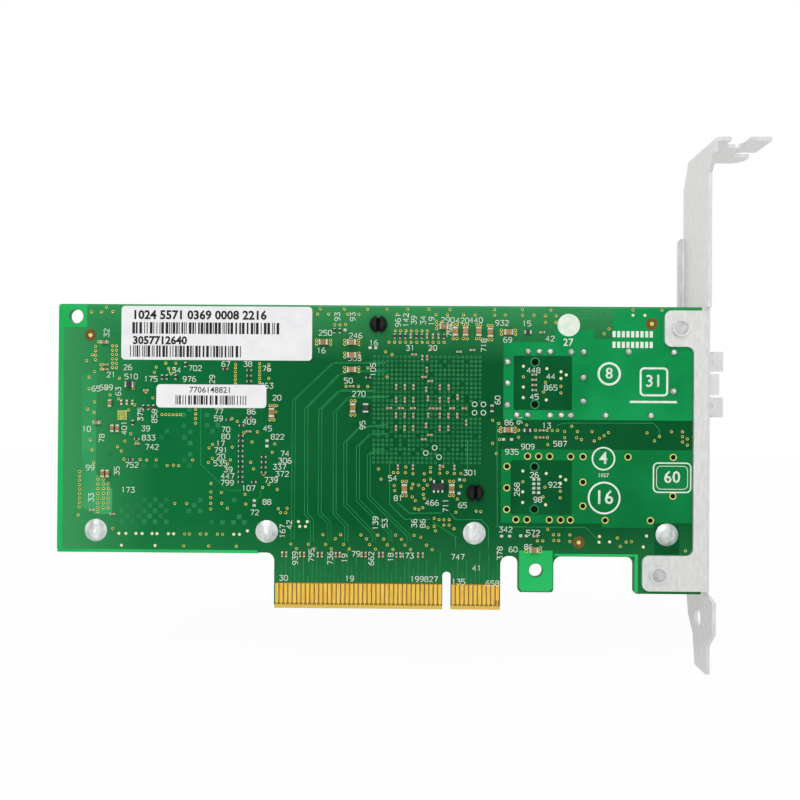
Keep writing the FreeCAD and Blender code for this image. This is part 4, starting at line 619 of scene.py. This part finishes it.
# Where the silkscreen numbers every part: along x, and upright.
NUMBER_PLACES = [
    (-77.8, 49.9), (-72.9, 54.5), (-76.7, 52.8), (-72.1, 52.4), (-80.1, 49.6), (-62.3, 53.9), (-57.5, 54.4),
    (-67.6, 51.9), (-58.8, 51.9), (-50.5, 55.4), (-45.5, 55.4), (-41.2, 54.4), (-41.2, 50.5), (-38.8, 47.8),
    (-82.2, 40.4), (-68.7, 40.6), (-68, 38.5), (-67.2, 36.4), (-71.8, 32.3), (-81.3, 31.6), (-72.6, 26.6),
    (-52, 44.6), (-52.1, 43), (-44.6, 44.6), (-45.1, 42.3), (-40.9, 40.8), (-50.4, 40.5), (-50.4, 38.9),
    (-38.6, 38.9), (-51.6, 37.3), (-51.5, 35.8), (-51.5, 34.3), (-51.6, 32.8), (-49.8, 31.4), (-49.9, 29.9),
    (-50, 28.4), (-45.1, 27.2), (-36.9, 35.1), (-36.9, 33.5), (-38.1, 32.1), (-37.5, 30.5), (-40, 29.1),
    (-40.9, 24.1), (-43.7, 21.7), (-27.9, 62.6), (-28.8, 58.6), (-21, 62), (-16.9, 60.4), (-21.2, 56.9),
    (-22.6, 51.8), (-20.2, 48.8), (-0.1, 65.7), (3.2, 65.6), (6.3, 65.7), (-8.6, 59.3), (-3.5, 59.3),
    (-12.4, 29.7), (-11.1, 25.2), (-3.4, 24.2), (3.5, 23.7), (5.2, 31.1), (-20.6, 12.5), (-9, 12.2),
    (2.5, 12), (12.2, 65.1), (17.8, 65), (13.5, 61.3), (23.1, 61.6), (19.4, 54.4), (23.3, 53), (23.3, 50.5),
    (19.6, 48.4), (13.9, 42.5), (22.4, 41.9), (25.5, 37.8), (18.2, 37.1), (14.6, 35.9), (19.7, 30.7),
    (24.4, 28.5), (20.5, 25.1), (13.3, 18.3), (19.5, 17.6), (18.5, 14.4), (15, 13.8), (6.8, 9.5), (2.7, 6.4),
    (10.4, 6.1), (-37, 6.9), (-22, 6.9), (-6.7, 6.9), (-3.5, 6.9),
]
UPRIGHT_NUMBER_PLACES = [
    (-77.8, 62.3), (-75, 49), (-78.7, 38.3), (-73.6, 40.7), (-69.9, 43.8), (-66.7, 43.4), (-75.2, 30.9),
    (-81, 24.8), (-53.6, 51.9), (-37.3, 17.5), (-35.8, 19), (-25.2, 66.3), (-21.7, 66.3), (-17, 54.3),
    (-11.4, 65.6), (-9.6, 65.6), (-7.8, 65.6), (-5.7, 65.6), (-3.8, 65.4), (8.1, 60), (-19.3, 41.7),
    (-0.3, 23.6), (-16.2, 19.5), (-14.1, 19.5), (-7.4, 19.5), (-5.5, 19.5), (-34.4, 11.4), (-30.7, 12.1),
    (-26.4, 11.5), (-23.2, 11.5), (-17.1, 11.5), (-12.7, 11.8), (11.3, 47.6), (16.3, 43.1), (15.8, 27.4),
    (12, 12.9), (0.3, 63.4),
]


def lay_round_hole(fields, hole, radius, left, right, crown, foot):
    """Lay a field round a hole as two halves: over it up to a crown, and under it down to a foot."""
    x, z = hole
    fields.lay([(left, z), *arc(x, z, radius, 180, 0, 14), (right, z), *crown], 0.0)
    fields.lay([*foot, (right, z), *arc(x, z, radius, 360, 180, 14), (left, z)], 0.0)


def lay_ground_ring(fields, foot, lip):
    """A bright band round the free end, wide at its upper corner, turned in over the step at its foot."""
    left = BOARD_LEFT + 0.12
    lay_round_hole(fields, CORNER_HOLE, 1.75, left, CORNER_RIGHT, [(CORNER_RIGHT, CROWN), (left, CROWN)],
                   [(left, CORNER_FOOT), (CORNER_RIGHT, CORNER_FOOT)])
    fields.lay([(left, foot), (-42.5, foot), (-43.2, lip), (-87.5, lip), (-87.5, CORNER_FOOT),
                (left, CORNER_FOOT)], 0.0)


def print_plate():
    """Copper under the lacquer shows as fields of lighter and darker green."""
    fields = Piece("lacquered_copper_fields", "board_laminate",
                   [BRIGHT_MASK, UPPER_MASK, PALE_MASK, DARK_MASK, LOWER_MASK, BARE_TONGUE, FAINT_MASK])
    bright, upper, pale, dark, lower, bare, faint = range(7)
    # The ground copper: the ring, the whole hook, and the edges of the board beside the notches.
    lay_ground_ring(fields, 12.4, 13.1)
    inset = 0.2
    chamfer = 0.7
    left = HOOK_LEFT + inset
    right = HOOK_RIGHT - inset
    low = HOOK_FOOT + inset
    foot = [(left, low + chamfer), (left + chamfer, low), (right - chamfer, low), (right, low + chamfer)]
    lay_round_hole(fields, HOOK_HOLE, 1.65, left, right, [(right, 13.6), (left, 13.6)], foot)
    fields.thicken(0.02)
    fields.lay(oblong(24.3, 12.4, 42.4, 12.9), 0.0, bright)
    fields.lay(oblong(CORNER_RIGHT, 68.4, 55.2, CROWN), 0.0, pale)
    fields.lay(oblong(42.45, 4.3, 43.2, 12.9), 0.0, bright)
    fields.thicken(0.02)
    # Bare resin shows between the contacts.
    fields.lay(oblong(-38.75, 1.0, -1.0, 5.9), 0.0, bare)
    fields.lay(oblong(1.0, 1.0, 12.05, 5.9), 0.0, bare)
    fields.thicken(0.008)
    # A plane near the free end.
    fields.lay([(-83.3, 22.7), (-80, 21), (-76.2, 21.1), (-76.2, 26.7), (-80, 30.5), (-80, 53),
                (-83.3, 53)], 0.0, pale)
    fields.thicken(0.012)
    # Planes round the two sockets' places, one above the other, each with a bare window; the upper one is
    # painted lighter, a painted sheen of light from above.
    fields.lay([(12.6, 43.2), (55.3, 43.2), (55.3, 68.4), (37.3, 68.4), (37.3, 61.6), (32.9, 61.6),
                (32.9, 63.7), (24.1, 63.6), (24.1, 60.8), (12.6, 60.8)], 0.0, upper)
    fields.lay([(12.2, 19.8), (35, 19.8), (35, 18.9), (46.7, 18.9), (46.7, 20), (55.3, 20), (55.3, 36.5),
                (12.2, 36.5)], 0.0, lower)
    fields.thicken(0.01)
    fields.lay(oblong(14.9, 45.4, 28.1, 57.7, 0.4), 0.01, dark)
    fields.lay(oblong(14.4, 21.7, 28.2, 34.0, 0.4), 0.01, dark)
    fields.thicken(0.008)
    fields.lay(oblong(46.9, 13, 52.5, 20), 0.0, dark)
    fields.thicken(0.009)
    for x, z in THIEVING:
        fields.lay(oblong(x - 0.52, z - 0.52, x + 0.52, z + 0.52), 0.0, faint)
    fields.thicken(0.02)
    fields.finish()


def run_traces():
    """Traces stand up through the lacquer."""
    traces = Piece("lacquered_traces", "board_laminate", [TRACE_MASK, PALE_MASK])
    for path in COUPLED_TRACES:
        # The second of each pair runs 0.68 mm beside the first.
        for shift in (-0.34, 0.34):
            traces.lay_strip([(x + shift, z + shift * 0.4) for x, z in path], 0.15, 0.0)
    for path in SINGLE_TRACES:
        traces.lay_strip(path, 0.18, 0.0)
    # Leads rise from the contacts, longer and shorter by turns.
    for count, (x, z) in enumerate([*row(-38.5, 6.1, 1, 0, 38), *row(1.5, 6.1, 1, 0, 11)]):
        traces.lay_strip([(x, z), (x, 7.4 + count * 3 % 7)], 0.16, 0.0)
    # A row of seven lacquered boxes for date marks, left plain.
    for z in (66.2, 67.9):
        traces.lay_strip([(29.4, z), (41.1, z)], 0.16, 0.01, 1)
    for x, z in row(29.4, 66.2, 1.671, 0, 8):
        traces.lay_strip([(x, z), (x, 67.9)], 0.16, 0.01, 1)
    traces.thicken(0.03)
    traces.finish()


def plate_vias():
    """Plated holes: gold rings round dark or filled middles, and lacquered ones under the controller."""
    vias = Piece("gold_vias", "gold_contacts", [GOLD, HOLE_DARK])
    vias.stamp_rings(VIAS, 0.33, 0.19, PLATING)
    for x, z in row(-74.9, 42.8, 0.55, 0, 4):
        vias.stamp_rings(row(x, z, 0, 0.55, 4), 0.26, 0.12, 0.06)
    vias.stamp_rings([(x, z - PORT_SPACING) for x, z in LEG_PLACES], 0.8, 0.56, PLATING, steps=24)
    # Two vias stand beyond each end of every large capacitor.
    ends = []
    for low, high in solids("large_capacitors", SOLDER_SIDE):
        corner, span, width, _ = measure(low, high)
        for along in (-0.6, span + 0.6):
            for step in (-0.42, 0.42):
                x, _, z = corner(along, 0, width / 2 + step)
                ends.append((x, z))
    vias.stamp_rings(ends, 0.36, 0.21, PLATING)
    vias.finish()
    rings = Piece("test_rings", "gold_contacts", [SILK, DARK_MASK])
    rings.stamp_rings(TEST_RINGS, 0.62, 0.46, PLATING, steps=20)
    rings.finish()
    pegs = Piece("peg_hole_rims", "board_laminate", [PALE_MASK, HOLE_DARK])
    pegs.stamp_rings(PEG_PLACES, 1.05, 0.82, 0.012, level=0.018, steps=28, depth=0.004)
    pegs.finish()
    filled = Piece("filled_vias", "gold_contacts", [GOLD, SILK])
    filled.stamp_rings(FILLED_VIAS, 0.36, 0.28, PLATING, depth=0.01)
    filled.finish()
    tented = Piece("lacquered_vias", "board_laminate", [TENT_MASK, DARK_MASK])
    # They stand on a grid of 1 mm, with a few places empty and room left for the test rings.
    grid = [(-16.7 + a, 33.3 + b) for a in range(25) for b in range(25) if dice.random() > 0.06]
    clear = [(x, z) for x, z in grid if all(math.hypot(x - a, z - b) > 1.0 for a, b in TEST_RINGS)]
    tented.stamp_rings(clear, 0.3, 0.19, 0.03, steps=8, depth=0.015)
    tented.finish()


def plate_pads():
    """Pads that stand empty, and three round targets for the placing machine."""
    pads = Piece("empty_pads", "gold_contacts", [TIN, GOLD, BARE_LAMINATE])
    for x, z in [(-41, 38), (-41, 36.8), (-17.7, 59.3), (-16.4, 59.3), (-23.4, 63.3), (12.7, 38.7),
                 (14.5, 38.7), (12.4, 16.8), (14.2, 16.8), (16.7, 16.9), (18, 16.9), (-43.8, 24.4),
                 (-43.8, 23.3), (2.8, 29.5), (2.7, 26.4), *row(19.6, 26.7, 0, 1, 4),
                 *row(20.7, 26.7, 0, 1, 4)]:
        pads.lay(oblong(x - 0.35, z - 0.3, x + 0.35, z + 0.3, 0.1), 0.0)
    pads.thicken(0.06)
    pads.stamp_rings([(-81.5, 61.8), (46.1, 65.1), (29.8, 15.5)], 1.35, 0.45, 0.03, steps=28, ring=2,
                     depth=-0.01)
    pads.finish()


def print_silkscreen():
    """White ink: a number by every part, a disc, rings, frames, a row of bars and a few bold numbers."""
    ink = Piece("silkscreen", "label_paper", [SILK])
    for places, upright in ((NUMBER_PLACES, False), (UPRIGHT_NUMBER_PLACES, True)):
        for x, z in places:
            number = dice.choice((dice.randint(10, 99), dice.randint(101, 998)))
            pen_number(ink, str(number), x, z, 1.15, upright)
    ink.lay_disc(27.3, 64.7, 2.55, INK_LEVEL, 40)
    for x, z, radius, width in ((35.3, 34.5, 2.5, 0.35), (35.5, 25.6, 3.5, 0.4), (36.5, 53.7, 2.4, 0.5)):
        ink.lay_strip(arc(x, z, radius, 0, 360, 40), width, INK_LEVEL)
    ink.frame(46.6, 27, 55, 33.6, 0.3, 1.0)
    ink.frame(47.3, 27.7, 54.3, 32.9, 0.15, 1.0)
    for low in (62.0, 59.6):
        for x, z in row(37.2, low, 1.05, 0, 9):
            ink.lay(oblong(x, z, x + 0.7, z + 1.4), INK_LEVEL)
    ink.frame(43.6, 48.9, 49.6, 55.0, 0.45, 0.8)
    ink.lay_strip([(41.2, 47.4), (51.8, 47.4)], 0.5, INK_LEVEL)
    for words, x, z, height, weight in (
            ("27", 27.2, 60.7, 1.7, 0.03), ("8", 36.5, 53.7, 2.6, 0.05), ("31", 46.6, 52.0, 2.8, 0.05),
            ("4", 35.3, 34.5, 2.8, 0.05), ("1057", 35.3, 30.7, 0.9, 0.0), ("16", 35.5, 25.6, 3.2, 0.05),
            ("60", 50.8, 30.3, 2.8, 0.05)):
        ink.print_line(words, x, z, height, INK_LEVEL, weight)
    ink.thicken(0.03)
    ink.finish()


def bars(piece, left, right, low, high, level):
    """A run of printed bars, thick and thin."""
    x = left
    while x < right:
        width = dice.choice((0.2, 0.2, 0.4, 0.6))
        piece.lay(oblong(x, low, min(x + width, right), high), level)
        x += width + dice.choice((0.2, 0.2, 0.4, 0.5))


def print_labels():
    """Numbers and bars in black on the two labels."""
    ink = Piece("label_print", "label_paper", [INK])
    paper = 0.1
    # Each line of numbers has a run of bars below it, between a left, a right, a low and a high.
    for words, x, z, height, weight, *run in (
            ("1024 5571 0369 0008 2216", -56.6, 66.4, 2.0, 0.09, -71.9, -38.4, 62.2, 64.8),
            ("3057712640", -65.6, 60.6, 1.8, 0.09, -72.4, -46.9, 56.9, 59.5),
            ("7706148821", -54.0, 49.4, 1.4, 0.01, -61.9, -45.6, 46.1, 48.2)):
        ink.print_line(words, x, z, height, paper, weight)
        bars(ink, *run, paper)
    ink.thicken(0.01)
    ink.finish()


def chip_part(piece, low, high, cap):
    """A chip capacitor or resistor: a body between metal ends, with solder run up to them from its pads."""
    corner, span, width, _ = measure(low, high)
    top = high[1]
    shy = 0.015
    edge = 0.04
    tin = 1
    piece.block(corner(cap * 0.5, 0.02, shy), corner(span - cap * 0.5, top - shy, width - shy), edge)
    for start, end in ((0, cap), (span - cap, span)):
        piece.block(corner(start, 0.02, 0), corner(end, top, width), edge, tin, 2)
    # Solder climbs half way up each end from a pad a little wider than the part.
    reach = min(0.16, 0.24 * width)
    for foot, end, way in ((0, 0.02, -1), (span, span - 0.02, 1)):
        toe = foot + way * reach
        climb = [(toe, 0.0), (toe, 0.05), (foot + way * reach * 0.4, top * 0.25), (end, top * 0.62),
                 (end, 0.0)]
        path = [piece.spot(*corner(along, level, width * 0.04)) for along, level in climb]
        face = piece.mesh.faces.new([piece.mesh.verts.new(place) for place in path])
        face.material_index = tin
        step = piece.spot(*corner(0, 0, width * 0.96)) - piece.spot(*corner(0, 0, width * 0.04))
        for far_face in piece.extrude([face], step):
            far_face.material_index = tin


def place_chip_parts():
    """Capacitors and resistors on both faces, each in the place of its CAD solid."""
    kinds = [
        ("small_capacitors", SOLDER_SIDE, 0.17), ("medium_capacitors", SOLDER_SIDE, 0.28),
        ("large_capacitors", SOLDER_SIDE, 0.36), ("chip_resistors", SOLDER_SIDE, 0.16),
        ("large_resistors", SOLDER_SIDE, 0.36), ("front_capacitors", PART_SIDE, 0.3),
        ("front_resistors", PART_SIDE, 0.24),
    ]
    for node, side, cap in kinds:
        body, slot = (RESISTOR, "resistor_black") if "resistors" in node else (CERAMIC, "ceramic_tan")
        piece = Piece("soldered_" + node, slot, [body, TIN], side)
        for low, high in solids(node, side):
            chip_part(piece, low, high, cap)
        piece.finish([node])


def solder_domes():
    """Solder drawn up round each pin of the cage."""
    domes = Piece("solder_domes", "solder", [SOLDER])
    for low, high in solids("cage_solder_joints", SOLDER_SIDE):
        radius = (high[0] - low[0]) / 2
        tall = high[1]
        profile = [(0, 0), (radius, 0), (radius * 0.93, tall * 0.2), (radius * 0.7, tall * 0.62),
                   (radius * 0.42, tall * 0.92), (radius * 0.16, tall), (0, tall * 0.93)]
        domes.turn(profile, *middle(low, high), 20)
    domes.finish(["cage_solder_joints"])


def dress_carried_nodes():
    """The CAD nodes that show as they are keep their shapes and get their finishes."""
    coats = {
        "circuit_board": MASK, "edge_contacts": CONTACT_GOLD, "solder_mounds": MOUND_SOLDER,
        "bracket": BRACKET_STEEL, "bracket_screws": SCREW_STEEL, "transceiver_cage": CAGE_NICKEL,
        "cage_spring_collar": SPRING_STEEL, "socket_housing": SOCKET_NYLON, "socket_contacts": CONTACT_GOLD,
        "controller_package": PACKAGE, "controller_lid": LID, "thermal_pad": THERMAL, "heatsink": SINK,
        "push_pins": PIN_NYLON, "push_pin_springs": SPRING_STEEL, "product_label": PAPER,
        "serial_label": PAPER, "chip_leads": LEAD, "status_lamps": LAMP,
    }
    for name, material in coats.items():
        data = nodes[name].data
        data.materials.clear()
        data.materials.append(material)


# ---------------------------------------------------------------- the component side

HEATSINK_LEFT = -22.5
HEATSINK_RIGHT = 13.0
HEATSINK_LOW = 22
CAGE_LOW = 43.5
CAGE_HIGH = 59.5

# Buses of traces between the controller and the parts round it: the path of each bus's first trace.
PART_TRACES = [
    [(-22, 50), (-27, 50), (-30.5, 53.5), (-31.5, 53.5)],
    [(-22, 36), (-26, 36), (-29, 33), (-31.4, 33)],
    [(-22, 43), (-26.5, 43)],
    [(-38, 55), (-44, 55), (-50, 49), (-50, 34), (-56, 28), (-62, 28)],
    [(-38, 30), (-42, 30), (-46, 26), (-46, 20), (-44, 18), (-44, 15)],
    [(-22, 28), (-27, 28), (-33, 22), (-33, 15)],
    [(-22, 25), (-24.5, 25), (-29, 20.5), (-29, 15)],
    [(14, 33), (24, 33), (30, 39), (44, 39), (47, 36), (52.5, 36)],
    [(14, 27), (28, 27), (31, 24), (31, 16)],
    [(5, 21), (10, 21), (13, 18), (13, 15)],
]


def on_open_board(x, z):
    """Whether nothing tall stands over a place on the component side."""
    under_sink = HEATSINK_LEFT < x < HEATSINK_RIGHT and HEATSINK_LOW < z
    under_cage = HEATSINK_RIGHT <= x and CAGE_LOW < z < CAGE_HIGH
    return not under_sink and not under_cage


def plate_part_side():
    """The other ends of the plated holes, planes of copper and buses of traces."""
    vias = Piece("gold_vias_beside_parts", "gold_contacts", [GOLD, HOLE_DARK], PART_SIDE)
    vias.stamp_rings([spot for spot in VIAS if on_open_board(*spot)], 0.38, 0.21, PLATING, steps=8)
    vias.stamp_rings([(x, z - PORT_SPACING) for x, z in LEG_PLACES], 0.8, 0.56, PLATING, steps=20)
    vias.finish()
    fields = Piece("lacquered_fields_beside_parts", "board_laminate", [BRIGHT_MASK, PALE_MASK, LOWER_MASK],
                   PART_SIDE)
    pale = 1
    lower = 2
    lay_ground_ring(fields, 12.8, 13.4)
    for low, high in ((21.5, 33), (36, 46), (49, 59.5)):
        fields.lay(oblong(-86.9, low, -71.2, high, 0.8), 0.0, pale)
    fields.lay(oblong(12.6, 19.8, 55.3, 42.6), 0.0, lower)
    for x, z in THIEVING:
        fields.lay(oblong(x - 0.5, z - 0.5, x + 0.5, z + 0.5), 0.0, pale)
    fields.thicken(0.012)
    fields.finish()
    traces = Piece("lacquered_traces_beside_parts", "board_laminate", [TRACE_MASK], PART_SIDE)
    for path in PART_TRACES:
        for line in range(5):
            traces.lay_strip([(x + line * 0.22, z - line * 0.5) for x, z in path], 0.16, 0.0)
    traces.thicken(0.03)
    traces.finish()


def print_part_side():
    """White ink: numbers, chip outlines and first-pin dots."""
    ink = Piece("silkscreen_beside_parts", "label_paper", [SILK], PART_SIDE)
    for node, reach in (("front_capacitors", 1.7), ("front_resistors", 1.5)):
        for x, z in [middle(*box) for box in solids(node, PART_SIDE)][1::2]:
            if on_open_board(x, z + reach):
                pen_number(ink, str(dice.randint(10, 99)), x, z + reach, 1.15)
    for node in ("regulator_chips", "settings_chip", "flash_chip", "clock_crystal", "power_inductors",
                 "bulk_capacitors"):
        for low, high in solids(node, PART_SIDE):
            ink.frame(low[0] - 0.5, low[2] - 0.5, high[0] + 0.5, high[2] + 0.5, 0.15)
            ink.lay_disc(low[0] - 0.2, high[2] + 1.0, 0.25, INK_LEVEL, 10)
            pen_number(ink, str(dice.randint(101, 998)), middle(low, high)[0], high[2] + 1.5, 1.3)
    # The cage's outline on its unused twin's place, with a number in it.
    ink.frame(13.5, 20.4, 54.5, 35.1, 0.2, 0.6)
    ink.print_line("2", 40, 28, 4, INK_LEVEL, 0.05)
    ink.print_line("1", 8.5, 18.6, 2, INK_LEVEL, 0.04)
    ink.thicken(0.03)
    ink.finish()


def mark_part(piece, words, low, high, height):
    """Print a number on the crown of a part in its second material, and a dot by its first pin."""
    piece.print_line(words, *middle(low, high), height, high[1], 0.0, 1)
    piece.lay_disc(low[0] + 0.65, high[2] - 0.65, 0.22, high[1], 12, 1)


def place_chips():
    """Moulded packages with broken edges, a number and a dot by the first pin."""
    kinds = [("regulator_chips", PART_SIDE, 0.12), ("settings_chip", PART_SIDE, 0.16),
             ("flash_chip", PART_SIDE, 0.16), ("reset_chip", SOLDER_SIDE, 0.1)]
    for node, side, edge in kinds:
        chips = Piece("moulded_" + node, "chip_black", [EPOXY, GREY_INK, LEAD], side)
        for low, high in solids(node, side):
            chips.block(low, high, edge)
            if side == PART_SIDE:
                mark_part(chips, str(dice.randint(1001, 9998)), low, high, 1.0)
            if node == "regulator_chips":
                # Flat leadless pads show along two sides.
                for x, _ in row(low[0] + 0.7, 0, 0.72, 0, 6):
                    for z in (low[2] + 0.04, high[2] - 0.04):
                        chips.block((x - 0.18, 0.0, z - 0.12), (x + 0.18, 0.14, z + 0.12), 0.0, 2)
        chips.thicken(PART_INK)
        chips.finish([node])
    # The reset chip is too small for a number, but takes its draw all the same.
    dice.randint(11, 99)


def place_power_parts():
    """Coils pressed into ferrite blocks, polymer capacitors with a banded end, and the crystal's can."""
    coils = Piece("pressed_power_coils", "inductor_grey", [FERRITE, GREY_INK, TIN], PART_SIDE)
    for low, high in solids("power_inductors", PART_SIDE):
        coils.block((low[0] + 0.05, 0.12, low[2] + 0.05), high, 0.45, 0, 3)
        for start, end in ((low[0], low[0] + 1.1), (high[0] - 1.1, high[0])):
            coils.block((start, 0.0, low[2] + 1.4), (end, 0.9, high[2] - 1.4), 0.05, 2)
        mark_part(coils, str(dice.randint(10, 99)) + "0", low, high, 1.7)
    coils.thicken(PART_INK)
    coils.finish(["power_inductors"])
    banded = Piece("banded_polymer_capacitors", "capacitor_yellow", [POLYMER, BROWN_BAND, TIN], PART_SIDE)
    for low, high in solids("bulk_capacitors", PART_SIDE):
        corner, span, width, upright = measure(low, high)
        banded.block((low[0] + 0.06, 0.1, low[2] + 0.06), (high[0] - 0.06, high[1], high[2] - 0.06),
                     0.16, 0, 2)
        for start in (0, span - 0.8):
            banded.block(corner(start, 0, 0.9), corner(start + 0.8, 1.1, width - 0.9), 0.05, 2)
        left, _, foot = corner(0.3, 0, 0.24)
        right, _, crown = corner(1.2, 0, width - 0.24)
        banded.lay(oblong(left, foot, right, crown), high[1], 1)
        x, z = middle(low, high)
        words = str(dice.choice((100, 220, 330)))
        banded.print_line(words, x + 0.4, z, 1.2, high[1], 0.0, 1, upright)
    banded.thicken(PART_INK)
    banded.finish(["bulk_capacitors"])
    can = Piece("lidded_crystal", "crystal_can", [CRYSTAL, CERAMIC, GREY_INK], PART_SIDE)
    for low, high in solids("clock_crystal", PART_SIDE):
        can.block((low[0], 0.0, low[2]), (high[0], high[1] * 0.6, high[2]), 0.08, 1)
        can.lay(oblong(low[0] + 0.2, low[2] + 0.2, high[0] - 0.2, high[2] - 0.2, 0.5), high[1] * 0.6)
        can.thicken(high[1] * 0.4)
        can.print_line(str(dice.randint(100, 999)), *middle(low, high), 0.9, high[1], 0.0, 2)
        can.thicken(0.006)
    can.finish(["clock_crystal"])


def tip_contacts():
    """Each contact runs on as a narrow plating bar down to the ground edge."""
    for side, name in ((SOLDER_SIDE, "contact_tips_a"), (PART_SIDE, "contact_tips_b")):
        tips = Piece(name, "gold_contacts", [CONTACT_GOLD], side)
        for low, high in solids("edge_contacts", side):
            # Only the contacts that lie on this face.
            if high[1] < 0.2 and low[1] > -0.2:
                x = middle(low, high)[0]
                tips.lay(oblong(x - 0.12, 0.95, x + 0.12, low[2] + 0.05), 0.0)
        tips.thicken(0.03)
        tips.finish()


# ---------------------------------------------------------------- camera, light and stage

def stage_floor():
    """A plain pale sheet that shows white and still takes the card's shadow."""
    low = Vector((-0.9, -0.9, -0.018))
    high = Vector((0.9, 0.9, -0.0142))
    mesh = bmesh.new()
    place = Matrix.Translation((low + high) / 2) @ Matrix.Diagonal((*(high - low), 1))
    bmesh.ops.create_cube(mesh, size=1, matrix=place)
    data = bpy.data.meshes.new("floor")
    mesh.to_mesh(data)
    mesh.free()
    material, tree, shader, _ = coat("floor", 0.0)
    shader.inputs["Base Color"].default_value = (1, 1, 1, 1)
    shader.inputs["Roughness"].default_value = 0.9
    data.materials.append(material)
    # The camera sees the sheet's own light for the most part, and the shadow in the rest.
    own_light = 0.93
    glow = add(tree, "Emission", {"Color": (1, 1, 1, 1), "Strength": 1.0})
    path = add(tree, "LightPath", {})
    seen = add(tree, "Math", {0: path.outputs["Is Camera Ray"], 1: own_light}, operation="MULTIPLY")
    blend = add(tree, "MixShader", {0: seen.outputs[0], 1: shader.outputs[0], 2: glow.outputs[0]})
    tree.links.new(blend.outputs[0], tree.nodes["Material Output"].inputs["Surface"])
    put("floor", data)


def light_scene():
    """A white studio: even light all round, and a soft lamp from the upper front."""
    world = bpy.data.worlds.new("studio")
    bpy.context.scene.world = world
    world.use_nodes = True
    tree = world.node_tree
    # The sky looks white straight on, in a mirror and through a lens, and lights the rest less.
    fill = 0.72
    path = add(tree, "LightPath", {})
    seen = add(tree, "Math", {0: path.outputs["Is Camera Ray"], 1: path.outputs["Is Glossy Ray"]},
               operation="MAXIMUM")
    through = add(tree, "Math", {0: seen.outputs[0], 1: path.outputs["Is Transmission Ray"]},
                  operation="MAXIMUM")
    strength = add(tree, "MapRange", {"Value": through.outputs[0], "To Min": fill, "To Max": 1.0})
    sky = tree.nodes["Background"]
    sky.inputs["Color"].default_value = (1, 1, 1, 1)
    tree.links.new(strength.outputs["Result"], sky.inputs["Strength"])
    lamp = bpy.data.lights.new("window", "SUN")
    lamp.energy = 0.85
    lamp.angle = math.radians(30)
    put("window", lamp).rotation_euler = (math.radians(52), 0, math.radians(-22))


def aim_camera():
    """The camera stands 200 mm in front of the solder side, a hair off square."""
    data = bpy.data.cameras.new("camera")
    data.lens = 39.42
    data.sensor_width = 36
    data.clip_start = 0.005
    turned = Matrix.Identity(3)
    for angle, axis in ((-0.637, "Z"), (0.386, "Y"), (-0.354, "X")):
        turned = turned @ Matrix.Rotation(math.radians(angle), 3, axis)
    right, forward, up = turned
    axes = Matrix((right, up, -forward)).transposed()
    place = Vector((-8.617, -199.63, 46.249)) * MM
    camera = put("camera", data)
    camera.matrix_world = Matrix.Translation(place) @ axes.to_4x4()
    bpy.context.scene.camera = camera


bpy.context.scene.view_settings.view_transform = "Standard"
aim_camera()
light_scene()
stage_floor()
dress_carried_nodes()
print_plate()
run_traces()
plate_vias()
plate_pads()
print_silkscreen()
print_labels()
place_chip_parts()
solder_domes()
tip_contacts()
plate_part_side()
print_part_side()
place_chips()
place_power_parts()
